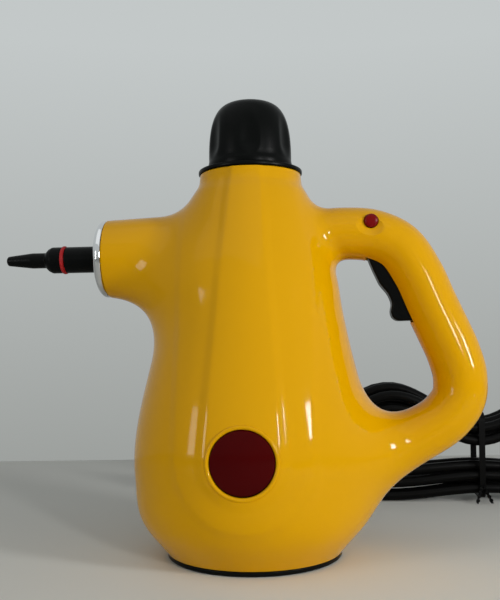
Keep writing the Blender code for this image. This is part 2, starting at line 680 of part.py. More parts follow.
for number in range(CAP_SCALLOPS):
    turn = 2 * math.pi * number / CAP_SCALLOPS + SCALLOP_TURN
    across = CAP_RADIUS * DOME_SHARE + SCALLOP_RADIUS - SCALLOP_DEPTH
    spot = (across * math.cos(turn), across * math.sin(turn), cap_low + SCALLOP_RISE)
    lean = Vector((-SCALLOP_LEAN * math.cos(turn), -SCALLOP_LEAN * math.sin(turn), 1.0)).normalized()
    groove = turned(f"scallop_{number}", ((0, 0), (SCALLOP_RADIUS * 0.9, 0.5 * MM), (SCALLOP_RADIUS, SCALLOP_FOOT),
                                          (SCALLOP_RADIUS, CAP_TOP - cap_low), (0, CAP_TOP - cap_low)),
                    None, spot, lean, 11)
    cut(cap, groove)


def coil(radius, low, high, turns, wire):
    """A spring's points, with its wire resting inside its two ends."""
    count = int(turns * 8)
    return [(radius * math.cos(2 * math.pi * turns * k / count), radius * math.sin(2 * math.pi * turns * k / count),
             low + wire + (high - low - 2 * wire) * k / count) for k in range(count + 1)]


tube("relief_spring", coil(POPPET_HEAD - 1.2 * MM, spring_low, spring_top, SPRING_TURNS, SPRING_WIRE / 2),
     SPRING_WIRE / 2, STEEL, 0)

# Nozzle, its ring and its bezel in the spout
SPOUT_IN = SPOUT_RADIUS - WALL
web_x = SPOUT_REACH - 7.0 * MM
WEB = 3.0 * MM
flange_x = web_x - GAP
groove_half = O_RING_WIRE + GAP
GROOVE = STUB_RADIUS - 1.1 * MM
NOZZLE_AT = (0, 0, SPOUT_Z)
TOWARD_TIP = (-1, 0, 0)
nozzle_back = 58.0 * MM
turned("outlet_nozzle", ((STEAM_BORE, nozzle_back), (PIPE_RADIUS + 1.5 * MM, nozzle_back),
                         (PIPE_RADIUS + 1.5 * MM, flange_x - 4.0 * MM), (STUB_RADIUS + 4.5 * MM, flange_x - 3.0 * MM),
                         (STUB_RADIUS + 4.5 * MM, flange_x), (STUB_RADIUS, flange_x),
                         (STUB_RADIUS, O_RING_X - groove_half), (GROOVE, O_RING_X - groove_half),
                         (GROOVE, O_RING_X + groove_half), (STUB_RADIUS, O_RING_X + groove_half),
                         (STUB_RADIUS, STUB_END - 1.5 * MM), (STUB_RADIUS - 0.8 * MM, STUB_END),
                         (TIP_RADIUS, STUB_END + 2.0 * MM), (TIP_RADIUS, TIP_END - 14.0 * MM),
                         (TIP_RADIUS * 0.6, TIP_END - 1.0 * MM), (STEAM_BORE, TIP_END)),
       BLACK, NOZZLE_AT, TOWARD_TIP, 16)
o_ring = [(GROOVE + GAP + O_RING_WIRE + O_RING_WIRE * math.cos(turn), O_RING_X + O_RING_WIRE * math.sin(turn))
          for turn in np.linspace(0, 2 * math.pi, 7)[:-1]]
turned("nozzle_o_ring", o_ring, RUBBER, NOZZLE_AT, TOWARD_TIP, 16)
bezel_x = SPOUT_REACH + GAP
turned("spout_bezel", ((STUB_RADIUS + GAP, web_x), (SPOUT_IN - GAP, web_x), (SPOUT_IN - GAP, bezel_x),
                       (SPOUT_RADIUS, bezel_x), (SPOUT_RADIUS, bezel_x + 1.5 * MM),
                       (SPOUT_RADIUS - 1.2 * MM, bezel_x + BEZEL_DEPTH - 1.0 * MM),
                       (SPOUT_RADIUS - 3.0 * MM, bezel_x + BEZEL_DEPTH), (SPOUT_IN - 3.0 * MM, bezel_x + BEZEL_DEPTH - 1.5 * MM),
                       (SPOUT_IN - 3.0 * MM, web_x + WEB), (STUB_RADIUS + GAP, web_x + WEB)), CHROME, NOZZLE_AT, TOWARD_TIP, 28)

# Steam valve behind the filler neck, its riser, and the pipe round the neck to the nozzle
ROD_Z = PIVOT[1] + HORN_RISE
VALVE_MID = (VALVE_X[0] + VALVE_X[1]) / 2
turned("steam_valve", ((0, VALVE_X[0]), (VALVE_RADIUS, VALVE_X[0]), (VALVE_RADIUS, VALVE_X[1]),
                       (ROD_RADIUS + GAP, VALVE_X[1]), (ROD_RADIUS + GAP, VALVE_MID), (0, VALVE_MID)),
       BRASS, (0, 0, ROD_Z), (1, 0, 0), 20)
RISER_RADIUS = 4.0 * MM
riser_x = VALVE_MID
draw = (riser_x - RISER_RADIUS - BOILER_RADIUS) / (FILLER_RADIUS - BOILER_RADIUS)
riser_foot = DOME_FOOT + (FILLER_Z - DOME_FOOT) * math.sin(math.acos(1.0 - draw)) + GAP
rod("steam_riser", RISER_RADIUS, (riser_x, 0, riser_foot), ROD_Z - VALVE_RADIUS - GAP - riser_foot, (0, 0, 1), BRASS)
pipe_start = VALVE_RADIUS + GAP
pipe_route = ((VALVE_MID, pipe_start, ROD_Z), (VALVE_MID, pipe_start + 5.0 * MM, ROD_Z),
              (24.0 * MM, 19.5 * MM, ROD_Z - 1.0 * MM), (12.0 * MM, 25.5 * MM, ROD_Z - 4.0 * MM),
              (-6.0 * MM, 27.0 * MM, ROD_Z - 8.0 * MM), (-24.0 * MM, 20.0 * MM, SPOUT_Z + 3.0 * MM),
              (-38.0 * MM, 9.0 * MM, SPOUT_Z + 0.5 * MM), (-49.0 * MM, 1.0 * MM, SPOUT_Z),
              (-nozzle_back + GAP, 0, SPOUT_Z))
tube("steam_pipe", led_route(pipe_route, 6.0 * MM), PIPE_RADIUS, BRASS, 1)

# Trigger, its pin, the push rod and the return spring
TRIGGER_FRONT = ((60.5, 157.0), (60.6, 152.5), (62.8, 147.0), (66.4, 139.0), (70.6, 134.0), (72.6, 129.0), (71.6, 125.0),
                 (72.4, 121.8), (74.8, 120.0))
TRIGGER_BACK = ((84.5, 120.2), (84.6, 125.0), (80.5, 137.0), (75.5, 150.0), (70.5, 160.0), (69.0, 168.0))
horn_front = PIVOT[0] - 3.0 * MM
trigger_outline = [(x * MM, z * MM) for x, z in TRIGGER_FRONT + TRIGGER_BACK]
trigger_outline += [(PIVOT[0] + 2.0 * MM, ROD_Z + 1.6 * MM), (horn_front + 0.8 * MM, ROD_Z + 1.6 * MM), (horn_front, ROD_Z)]
trigger = prism("trigger", trigger_outline, -TRIGGER_HALF, TRIGGER_HALF, BLACK)
pin_spot = (PIVOT[0], 0, PIVOT[1])
PIN_HALF = HANDLE_DEPTH - WALL - 1.0 * MM
pin_start = (PIVOT[0], -PIN_HALF, PIVOT[1])
cut(trigger, drill("trigger_bore", PIN_RADIUS + GAP, pin_start, 2 * PIN_HALF, (0, 1, 0)))
rod("trigger_pin", PIN_RADIUS, pin_start, 2 * PIN_HALF, (0, 1, 0), STEEL)
BOSS_FACE = TRIGGER_HALF + 0.6 * MM
PIN_BOSS = 4.2 * MM
SLOT = ((59.3, 145.0), (59.3, 159.0), (72.0, 159.0), (90.0, 119.0), (69.0, 119.0))
slot = prism("trigger_slot", [(x * MM, z * MM) for x, z in SLOT], -BOSS_FACE, BOSS_FACE, None)
pin_end = boss_end(PIVOT[0], PIVOT[1], PIN_BOSS)
for side, bosses, holes in ((-1, left_bosses, left_holes), (1, right_bosses, right_holes)):
    bosses.append(rod("pin_boss", PIN_BOSS, (PIVOT[0], side * BOSS_FACE, PIVOT[1]), pin_end - BOSS_FACE, (0, side, 0), None))
    holes.append(drill("pin_bore", PIN_RADIUS + GAP / 2, (PIVOT[0], side * (BOSS_FACE - GAP), PIVOT[1]),
                       PIN_HALF + 2 * GAP - BOSS_FACE, (0, side, 0)))
rod_end = horn_front - 0.5 * MM
rod_start = VALVE_MID + 3.0 * MM
collar_x = VALVE_X[1] + 13.0 * MM
SPRING_COIL = 4.0 * MM
turned("push_rod", ((0, rod_start), (ROD_RADIUS, rod_start), (ROD_RADIUS, collar_x), (SPRING_COIL + 1.0 * MM, collar_x),
                    (SPRING_COIL + 1.0 * MM, collar_x + 2.0 * MM), (ROD_RADIUS, collar_x + 2.0 * MM),
                    (ROD_RADIUS, rod_end - 1.0 * MM), (ROD_RADIUS * 0.4, rod_end), (0, rod_end)),
       STEEL, (0, 0, ROD_Z), (1, 0, 0), 16)
spring = tube("return_spring", coil(SPRING_COIL, VALVE_X[1] + GAP, collar_x - GAP, SPRING_TURNS, SPRING_WIRE / 2),
              SPRING_WIRE / 2, STEEL, 0)
spring.location = (0, 0, ROD_Z)
spring.rotation_euler = (0, math.pi / 2, 0)

# Lock button in the lamp side of the handle
lock_skin = wall_at(*LOCK_AT)
LOCK_PROUD = 0.9 * MM
lock_end = TRIGGER_HALF + LOCK_TRAVEL + 1.5 * MM
turned("lock_button", ((0, lock_end), (LOCK_RADIUS, lock_end), (LOCK_RADIUS, lock_skin + LOCK_PROUD - 0.6 * MM),
                       (LOCK_RADIUS * 0.7, lock_skin + LOCK_PROUD), (0, lock_skin + LOCK_PROUD)),
       RED, (LOCK_AT[0], 0, LOCK_AT[1]), (0, -1, 0), 20)
lock_stop = lock_end - LOCK_TRAVEL - 1.0 * MM
left_holes.append(drill("lock_hole", LOCK_RADIUS + GAP, (LOCK_AT[0], -lock_stop, LOCK_AT[1]), 0.02, (0, -1, 0), 20))

# Pilot lamp lens, its holder and lamp
lens_skin = wall_at(0.0, LENS_Z)
lens_flange = math.sqrt((lens_skin - WALL) ** 2 - (LENS_RADIUS + LENS_FLANGE) ** 2) - 1.5 * MM
turned("indicator_lens", ((0, lens_flange - 1.8 * MM), (LENS_RADIUS + LENS_FLANGE, lens_flange - 1.8 * MM),
                          (LENS_RADIUS + LENS_FLANGE, lens_flange), (LENS_RADIUS, lens_flange),
                          (LENS_RADIUS, lens_skin - 2.2 * MM), (LENS_RADIUS - 0.8 * MM, lens_skin - 1.4 * MM),
                          (LENS_RADIUS * 0.6, lens_skin - 0.5 * MM), (0, lens_skin)), RED, (0, 0, LENS_Z), (0, -1, 0), 26)
left_holes.append(drill("lens_hole", LENS_RADIUS + GAP, (0, -lens_flange + 4.0 * MM, LENS_Z), 0.03, (0, -1, 0), 26))
LAMP_RADIUS = 3.0 * MM
holder_face = lens_flange - 1.8 * MM - GAP
turned("lamp_holder", ring_outline(LAMP_RADIUS + GAP, LAMP_RADIUS + 3.0 * MM, holder_face - 2.4 * MM, holder_face), NYLON,
       (0, 0, LENS_Z), (0, -1, 0), 20)
rod("pilot_lamp", LAMP_RADIUS, (0, -(holder_face - 2.4 * MM), LENS_Z), 2.4 * MM, (0, -1, 0), RED)

# Cord gland on the far side, low down
gland_out = Vector((math.cos(GLAND_AZIMUTH), math.sin(GLAND_AZIMUTH), 0))
gland_skin = body_radius(GLAND_Z)
gland_tip = gland_skin + GLAND_LENGTH
turned("cord_gland", ((0, gland_skin - GLAND_SEAT - 2.0 * MM), (GLAND_FLANGE, gland_skin - GLAND_SEAT - 2.0 * MM),
                      (GLAND_FLANGE, gland_skin - GLAND_SEAT), (GLAND_RADIUS, gland_skin - GLAND_SEAT),
                      (GLAND_RADIUS, gland_skin + 4.0 * MM), (CORD / 2 + 1.0 * MM, gland_tip), (0, gland_tip)),
       BLACK, (0, 0, GLAND_Z), gland_out, 20)
right_holes.append(drill("gland_hole", GLAND_RADIUS + GAP, gland_out * (gland_skin - 12.0 * MM) + Vector((0, 0, GLAND_Z)),
                         0.03, gland_out, 20))

# The bosses and holes of the two halves
fuse(left, gather("left_bosses", left_bosses))
cut(left, gather("left_holes", left_holes), slot)
fuse(right, gather("right_bosses", right_bosses))
cut(right, gather("right_holes", right_holes), gather("right_recesses", right_recesses), slot)

# Cord: a tied hank on its edge behind the handle, the lead from the gland and the tail to the plug
HANK_Z = HANK_HALF + CORD / 2 + 0.5 * MM
LAYER = CORD + CORD_GAP


def loop_point(turn):
    """A point of the hank after so many turns, from the foot run's left end to the right."""
    lap = 2.0 * LOOPS_PER_LAYER
    inset = HANK_STEP * (LOOPS_PER_LAYER - abs(turn % lap - LOOPS_PER_LAYER))
    layer = math.floor(turn / LOOPS_PER_LAYER)
    past = turn - layer * LOOPS_PER_LAYER
    climb = max(0.0, 1.0 - past / 0.29) if layer > 0 else 0.0
    y = HANK_CENTRE[1] + LAYER * (layer - climb * climb * (3.0 - 2.0 * climb))
    half = HANK_HALF - inset
    share = turn % 1.0 * POINTS_PER_LOOP
    runs, bends = 7.0, 5.0
    if share < runs:
        x, up = HANK_RUN * (2.0 * share / runs - 1.0), -1.0
    elif share < runs + bends:
        turned_by = math.pi * (share - runs) / bends
        x, up = HANK_RUN + half * math.sin(turned_by), -math.cos(turned_by)
    elif share < 2 * runs + bends:
        x, up = HANK_RUN * (1.0 - 2.0 * (share - runs - bends) / runs), 1.0
    else:
        turned_by = math.pi * (share - 2 * runs - bends) / bends
        x, up = -HANK_RUN - half * math.sin(turned_by), math.cos(turned_by)
    pinch = 0.5 + 0.5 * math.cos(math.pi * min(1.0, abs(x) / HANK_RUN))
    drawn = HANK_WAIST_TOP if up > 0 else HANK_WAIST_FOOT
    return (HANK_CENTRE[0] + x, y, HANK_Z + up * half - up * drawn * pinch)


hank = [loop_point(turn) for turn in np.linspace(0.0, HANK_TURNS, round(HANK_TURNS * POINTS_PER_LOOP) + 1)]
first, last = hank[0], hank[-1]
hank = [(first[0] - CORD, first[1], first[2])] + hank + [(last[0], last[1], last[2] - CORD / 3)]
tube("cord_hank", hank, CORD / 2, CORD_PVC, 1)
path = np.array(hank)
fine = np.concatenate([path[:-1] + (path[1:] - path[:-1]) * t for t in (0.0, 0.25, 0.5, 0.75)], axis=1).reshape(-1, 3)
apart = np.linalg.norm(fine[:, None] - fine[None], axis=2)
far = np.abs(np.subtract.outer(np.arange(len(fine)), np.arange(len(fine)))) > 20
print("least gap of the hank to itself, mm:", round((apart[far].min() - CORD) / MM, 2))
print("hank length, m:", round(float(np.linalg.norm(np.diff(path, axis=0), axis=1).sum()), 3))

tie_x = HANK_CENTRE[0]
tie_low = HANK_Z - HANK_HALF + HANK_WAIST_FOOT - CORD / 2 - 0.6 * MM
tie_top = HANK_Z + HANK_HALF - HANK_WAIST_TOP + CORD / 2 + 0.6 * MM
tie_front = HANK_CENTRE[1] - CORD / 2 - 0.6 * MM
tie_back = HANK_CENTRE[1] + LAYER * 3 + CORD / 2 + 0.6 * MM
TIE_THICK = 1.2 * MM
TIE_WIDE = 4.0 * MM
tie = block("hank_tie", (tie_x - TIE_WIDE / 2, tie_front - TIE_THICK, tie_low - TIE_THICK),
            (tie_x + TIE_WIDE / 2, tie_back + TIE_THICK, tie_top + TIE_THICK), BLACK, 0.3 * MM)
cut(tie, prism("tie_inside", [(tie_x - TIE_WIDE, tie_low), (tie_x + TIE_WIDE, tie_low), (tie_x + TIE_WIDE, tie_top),
                              (tie_x - TIE_WIDE, tie_top)], tie_front, tie_back, None))

BEND_SHARE = 0.55
BEND_POINTS = 8


def bend_between(start, out, end, into):
    """Points on one smooth bend that leaves a point along one direction and reaches another along a second."""
    shares = np.linspace(0.0, 1.0, BEND_POINTS)
    return [start * (1 - t) ** 3 + (start + out) * 3 * t * (1 - t) ** 2 + (end - into) * 3 * t * t * (1 - t) + end * t ** 3
            for t in map(float, shares)]


gland_face = gland_out * (gland_tip + GAP) + Vector((0, 0, GLAND_Z))
lead_in = gland_out * (gland_tip + GAP + CORD) + Vector((0, 0, GLAND_Z))
hank_start = Vector(hank[0])
lead_out = hank_start - Vector((CORD + GAP, 0, 0))
lead_bend = bend_between(lead_in, gland_out * 20.0 * MM, lead_out, Vector((30.0 * MM, 0, 0)))
lead_route = (gland_face, *lead_bend, hank_start - Vector((GAP, 0, 0)))
tube("cord_lead", led_route(lead_route, 2 * CORD), CORD / 2, CORD_PVC, 2)

PLUG_Z = PLUG_RADIUS + 0.2 * MM
PLUG_X = -2.0 * MM
plug_y = hank[-1][1]
hank_end = Vector(hank[-1])
tail_in = hank_end - Vector((0, 0, GAP + CORD / 3))
drop = tail_in.z - PLUG_Z
tail_bend = bend_between(tail_in, Vector((0, 0, -BEND_SHARE * drop)), Vector((tail_in.x - drop, plug_y, PLUG_Z)),
                         Vector((-BEND_SHARE * drop, 0, 0)))
tail_route = (hank_end - Vector((0, 0, GAP)), *tail_bend, (PLUG_X + GAP + CORD, plug_y, PLUG_Z), (PLUG_X + GAP, plug_y, PLUG_Z))
tube("cord_tail", led_route(tail_route, 1.5 * CORD), CORD / 2, CORD_PVC, 2)
plug_at = (PLUG_X, plug_y, PLUG_Z)
PLUG_FACE = 42.0 * MM
turned("plug_body", ((0, 0), (CORD / 2 + 1.0 * MM, 0), (CORD / 2 + 3.0 * MM, 14.0 * MM), (PLUG_RADIUS * 0.6, 19.0 * MM),
                     (PLUG_RADIUS * 0.92, 24.0 * MM), (PLUG_RADIUS, 27.0 * MM), (PLUG_RADIUS, PLUG_FACE - 1.0 * MM),
                     (PLUG_RADIUS - 1.0 * MM, PLUG_FACE), (0, PLUG_FACE)), BLACK, plug_at, (-1, 0, 0), 28)
for number, side in enumerate((-1, 1), 1):
    start = (PLUG_X - PLUG_FACE - GAP, plug_y + side * PLUG_PIN_PITCH / 2, PLUG_Z)
    turned(f"plug_pin_{number}", ((0, 0), (PLUG_PIN_RADIUS, 0), (PLUG_PIN_RADIUS, PLUG_PIN_LENGTH - 1.5 * MM),
                                  (PLUG_PIN_RADIUS * 0.5, PLUG_PIN_LENGTH), (0, PLUG_PIN_LENGTH)), CHROME, start, (-1, 0, 0), 12)
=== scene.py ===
# %% [markdown]
# # A hand-held steam cleaner
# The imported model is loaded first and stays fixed, so that every piece made here lies in its frame: metres,
# +Z up, +X to the handle, -X to the nozzle and -Y to the side with the pilot lamp. Each visible piece is
# then made again with the roundness and the finish of the real one, and rides on the body that carries it.

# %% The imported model
import json
import math

import bmesh
import bpy
import numpy as np
from mathutils import Matrix, Vector

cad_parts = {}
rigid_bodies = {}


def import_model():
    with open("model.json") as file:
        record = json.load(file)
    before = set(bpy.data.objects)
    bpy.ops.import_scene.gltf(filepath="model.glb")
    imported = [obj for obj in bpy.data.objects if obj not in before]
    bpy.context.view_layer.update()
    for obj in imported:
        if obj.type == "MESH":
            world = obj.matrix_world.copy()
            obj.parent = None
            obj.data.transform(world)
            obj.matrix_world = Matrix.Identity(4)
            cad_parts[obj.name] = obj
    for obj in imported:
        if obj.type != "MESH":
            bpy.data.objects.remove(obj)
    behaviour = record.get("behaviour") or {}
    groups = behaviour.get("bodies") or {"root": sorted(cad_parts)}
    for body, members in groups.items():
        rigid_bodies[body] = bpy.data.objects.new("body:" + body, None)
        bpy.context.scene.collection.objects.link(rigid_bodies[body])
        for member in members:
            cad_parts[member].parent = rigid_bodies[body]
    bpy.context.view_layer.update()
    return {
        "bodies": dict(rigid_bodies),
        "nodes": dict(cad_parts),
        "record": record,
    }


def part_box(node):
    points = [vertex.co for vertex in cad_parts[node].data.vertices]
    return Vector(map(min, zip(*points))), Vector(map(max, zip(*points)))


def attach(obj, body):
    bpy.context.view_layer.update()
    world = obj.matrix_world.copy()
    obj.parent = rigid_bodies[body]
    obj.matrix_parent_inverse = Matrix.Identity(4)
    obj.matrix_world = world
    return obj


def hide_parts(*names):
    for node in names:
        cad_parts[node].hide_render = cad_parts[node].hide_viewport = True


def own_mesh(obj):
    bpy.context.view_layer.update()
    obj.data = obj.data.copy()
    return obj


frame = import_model()
MM = 0.001
scene = bpy.context.scene
scene.view_settings.view_transform = "Standard"
framed = set(frame["nodes"].values()) | set(frame["bodies"].values())
for stray in [thing for thing in scene.objects if thing not in framed]:
    bpy.data.objects.remove(stray)
print("nodes in the frame:", len(frame["nodes"]))

# %% [markdown]
# ## Camera
# The photograph was taken from close by, at about half the object's height. Its focal length in pixels came
# from how the round collar, lens and base flatten, and gives a normal lens at 0.4 m. The lens is tipped up
# a little, and a small shift does the rest of the framing, which keeps the upright sides as upright as they
# are in the photograph.

# %% Camera
PHOTO_HEIGHT = 600
FOCAL = 780.0
EYE_DISTANCE = 410 * MM
EYE_HEIGHT = 107 * MM
EYE_AZIMUTH = math.radians(5.0)
LOOK_AZIMUTH = math.radians(5.17)
EYE_PITCH = math.radians(1.2)
EYE_ROLL = math.radians(0.72)
FRAME_RAISED = 31.7
SENSOR = 36.0

eye = Vector((EYE_DISTANCE * math.sin(EYE_AZIMUTH), -EYE_DISTANCE * math.cos(EYE_AZIMUTH), EYE_HEIGHT))
level = Vector((-math.sin(LOOK_AZIMUTH), math.cos(LOOK_AZIMUTH), 0))
ahead = level * math.cos(EYE_PITCH) + Vector((0, 0, math.sin(EYE_PITCH)))
flat_right = Vector((math.cos(LOOK_AZIMUTH), math.sin(LOOK_AZIMUTH), 0))
flat_up = flat_right.cross(ahead)
eye_up = flat_up * math.cos(EYE_ROLL) + flat_right * math.sin(EYE_ROLL)
eye_right = ahead.cross(eye_up)
lens_data = bpy.data.cameras.new("camera")
lens_data.sensor_fit = "VERTICAL"
lens_data.sensor_height = SENSOR
lens_data.lens = FOCAL * SENSOR / PHOTO_HEIGHT
lens_data.shift_y = FRAME_RAISED / PHOTO_HEIGHT
lens_data.clip_start = 10 * MM
camera = bpy.data.objects.new("camera", lens_data)
camera.matrix_world = Matrix.Translation(eye) @ Matrix((eye_right, eye_up, -ahead)).transposed().to_4x4()
scene.collection.objects.link(camera)
scene.camera = camera
print("lens, mm:", round(lens_data.lens, 1))

# %% [markdown]
# ## Finishes
# A colour is written as the hex value that a screen shows and turned to linear light by one function. One
# more function adds a shader node with its settings and links. Patterns use Object coordinates, which are
# metres here, so a noise of scale 1/size has features of that size.

# %% Colours and nodes


def srgb(code):
    """Linear light from an sRGB hex value."""
    parts = [int(code[k:k + 2], 16) / 255 for k in (1, 3, 5)]
    return (*[c / 12.92 if c <= 0.04045 else ((c + 0.055) / 1.055) ** 2.4 for c in parts], 1.0)


def node(tree, kind, settings=(), links=()):
    """Adds a node, sets its properties or sockets, and links its sockets."""
    made = tree.nodes.new(kind)
    for key, value in dict(settings).items():
        if isinstance(key, str) and hasattr(made, key):
            setattr(made, key, value)
        else:
            made.inputs[key].default_value = value
    for key, source in dict(links).items():
        tree.links.new(source, made.inputs[key])
    return made


def finish(name, settings):
    """A Principled material under a real material's name, with its tree, its shader and metre coordinates."""
    made = bpy.data.materials.new(name)
    made.use_nodes = True
    tree = made.node_tree
    shader = tree.nodes["Principled BSDF"]
    for key, value in settings.items():
        shader.inputs[key].default_value = value
    place = node(tree, "ShaderNodeTexCoord").outputs["Object"]
    return made, tree, shader, place


POLISH_FINENESS = 2.7
RELIEF = 0.05 * MM


def vary(tree, shader, place, size, dark, light, rough, peel, peel_size):
    """Slow colour drift, patches of polish, and a fine moulded texture, each at its size in metres."""
    drift = node(tree, "ShaderNodeTexNoise", {"Scale": 1 / size, "Detail": 3.0}, {"Vector": place})
    tone = node(tree, "ShaderNodeMix", {"data_type": "RGBA", 6: srgb(dark), 7: srgb(light)},
                {0: drift.outputs["Fac"]})
    tree.links.new(tone.outputs[2], shader.inputs["Base Color"])
    polish = node(tree, "ShaderNodeTexNoise", {"Scale": POLISH_FINENESS / size, "Detail": 5.0},
                  {"Vector": place})
    gloss = node(tree, "ShaderNodeMapRange", {"To Min": rough[0], "To Max": rough[1]},
                 {"Value": polish.outputs["Fac"]})
    tree.links.new(gloss.outputs["Result"], shader.inputs["Roughness"])
    grain = node(tree, "ShaderNodeTexNoise", {"Scale": 1 / peel_size, "Detail": 2.0}, {"Vector": place})
    relief = node(tree, "ShaderNodeBump", {"Strength": peel, "Distance": RELIEF},
                  {"Height": grain.outputs["Fac"]})
    tree.links.new(relief.outputs["Normal"], shader.inputs["Normal"])


print("mid grey in linear light:", [round(part, 3) for part in srgb("#808080")[:3]])

# %% [markdown]
# The shell is ABS moulded in a polished tool. Such a surface mirrors a window as thin white streaks over a
# deep warm yellow, and its faint orange peel, about 5 mm across, makes them waver. A low roughness gives
# the streaks and a weak bump the peel. A clear coat on top would do it too, but it veils the yellow, so the
# shader's own gloss is used and its level is set to the strength of the streaks in the photograph.

# %% The yellow shell
# Polished ABS: to the eye a full, even yellow with small sharp highlights.
yellow, tree, shader, place = finish("yellow_moulded_abs", {"IOR": 1.53, "Specular IOR Level": 0.12})
vary(tree, shader, place, 60 * MM, "#D29900", "#D79E01", (0.05, 0.09), 0.04, 5 * MM)
print("finish:", yellow.name)

# %% [markdown]
# The other plastics come from plainer tools, so they differ in roughness and in the size of their grain.
# Where a real grain of about 0.1 mm is too fine to show in the render, it is drawn at 0.5 to 0.9 mm.

# %% Other plastics and rubbers
# ABS from a spark-eroded tool: a satin black with soft, wide highlights.
black, tree, shader, place = finish("black_moulded_abs", {"IOR": 1.53, "Specular IOR Level": 0.05})
vary(tree, shader, place, 12 * MM, "#070808", "#0C0E0D", (0.26, 0.36), 0.25, 0.7 * MM)

# Polished polycarbonate, dyed so deep that the unlit lens is a dark smooth red.
lens_red, tree, shader, place = finish("red_polycarbonate", {"IOR": 1.585, "Specular IOR Level": 0.05})
vary(tree, shader, place, 20 * MM, "#3E0203", "#460304", (0.08, 0.12), 0.03, 3 * MM)

# Satin red ABS: a brighter spot than the lens, with a small blurred highlight.
button_red, tree, shader, place = finish("red_moulded_abs", {"IOR": 1.53, "Specular IOR Level": 0.12})
vary(tree, shader, place, 6 * MM, "#690507", "#740709", (0.2, 0.3), 0.1, 0.6 * MM)

# Pressed silicone rubber: a matt clear red with hardly any highlight.
silicone, tree, shader, place = finish("red_silicone_rubber", {"IOR": 1.41})
vary(tree, shader, place, 5 * MM, "#A80F14", "#BC1319", (0.45, 0.6), 0.2, 0.5 * MM)

# Soft PVC drawn over the wires: black with a dull sheen along each strand.
pvc, tree, shader, place = finish("black_pvc_sheath", {"IOR": 1.52, "Specular IOR Level": 0.06})
vary(tree, shader, place, 9 * MM, "#060606", "#0B0B0A", (0.32, 0.46), 0.2, 0.9 * MM)

# Nylon left in its own colour: a waxy off-white, out of sight inside the body.
nylon, tree, shader, place = finish("natural_nylon", {"IOR": 1.53})
vary(tree, shader, place, 8 * MM, "#D8D2BE", "#E6E0CE", (0.45, 0.6), 0.2, 0.8 * MM)
print("plastics and rubbers:", [made.name for made in (black, lens_red, button_red, silicone, pvc, nylon)])

# %% [markdown]
# Metals keep the default IOR. Chrome plate is nearly a mirror; the drawn steel and the turned brass inside
# keep fine tool marks, drawn here about 0.4 mm apart so that they show at all.

# %% Metals
# Chrome plate: a bright cool mirror with hardly a blur.
chrome, tree, shader, place = finish("chrome_plate", {"Metallic": 1.0})
vary(tree, shader, place, 15 * MM, "#D9DADB", "#E6E7E8", (0.04, 0.1), 0.04, 2 * MM)

# Drawn stainless steel: a warm grey metal with broad soft highlights.
steel, tree, shader, place = finish("drawn_stainless_steel", {"Metallic": 1.0})
vary(tree, shader, place, 10 * MM, "#B9B6B0", "#CBC8C2", (0.25, 0.4), 0.3, 0.4 * MM)

# Turned brass: yellow metal, a little sharper than the steel.
brass, tree, shader, place = finish("turned_brass", {"Metallic": 1.0})
vary(tree, shader, place, 10 * MM, "#C69A4B", "#D9B163", (0.2, 0.34), 0.25, 0.4 * MM)
print("metals:", [made.name for made in (chrome, steel, brass)])

# %% [markdown]
# Solids that stay as they are, such as the boiler and its fittings, take these finishes by the record's
# material slots.

# %% Finishes on the solids
FINISHES = {"yellow_abs": yellow, "black_abs": black, "red_polycarbonate": lens_red, "red_silicone": silicone,
            "black_pvc": pvc, "chrome_plate": chrome, "stainless_steel": steel, "brass": brass,
            "natural_nylon": nylon}
for entry in frame["record"]["subparts"]:
    part = frame["nodes"][entry["node"]]
    for holder in part.material_slots:
        holder.material = FINISHES[entry["material_slot"]]
print("finishes by slot:", len(FINISHES))

# %% [markdown]
# ## Pieces
# A piece could be modelled by hand, but code keeps its sizes in step with the solid that it stands for. So
# a piece is made from points and faces, shaded smooth up to an angle, and rides on its body.

# %% Making pieces
SHARP_ANGLE = 35


def piece(name, points, faces, finish_of, body, slot, *stands_for, angle=SHARP_ANGLE):
    """Adds a mesh piece, rides it on a body and hides the nodes that it stands for."""
    mesh = bpy.data.meshes.new(name)
    mesh.from_pydata([tuple(point) for point in points], [], [tuple(face) for face in faces])
    bm = bmesh.new()
    bm.from_mesh(mesh)
    bmesh.ops.recalc_face_normals(bm, faces=bm.faces)
    bm.to_mesh(mesh)
    bm.free()
    mesh.materials.append(finish_of)
    made = bpy.data.objects.new(name, mesh)
    scene.collection.objects.link(made)
    smooth(made, angle)
    if body:
        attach(made, body)
    if stands_for:
        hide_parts(*stands_for)
    print(f"{name}: {len(mesh.polygons)} faces")
    return made


def smooth(made, angle=SHARP_ANGLE):
    """Smooth shading, with edges kept where faces meet at more than an angle."""
    made.data.shade_smooth()
    made.data.set_sharp_from_angle(angle=math.radians(angle))


# %% [markdown]
# Most pieces are round, so they start as an outline of (radius, distance along the axis) that is turned
# about the axis. Its corners are eased first, as a lathe or a mould leaves them; a bevel modifier would
# ease every edge alike.

# %% Turned shapes
CORNER_SHARE = 0.45
EDGE_STEPS = 4
ON_AXIS = 0.001 * MM


def eased(outline, radius, steps=EDGE_STEPS):
    """A closed outline with its corners rounded off."""
    eased_points = []
    outline = [Vector(point) for point in outline]
    for before, corner, after in zip(outline[-1:] + outline[:-1], outline, outline[1:] + outline[:1]):
        if corner.x <= 0:
            eased_points.append(corner)
            continue
        to_before, to_after = before - corner, after - corner
        start = corner + to_before.normalized() * min(radius, CORNER_SHARE * to_before.length)
        end = corner + to_after.normalized() * min(radius, CORNER_SHARE * to_after.length)
        for k in range(steps + 1):
            t = k / steps
            eased_points.append(start.lerp(corner, t).lerp(corner.lerp(end, t), t))
    return eased_points


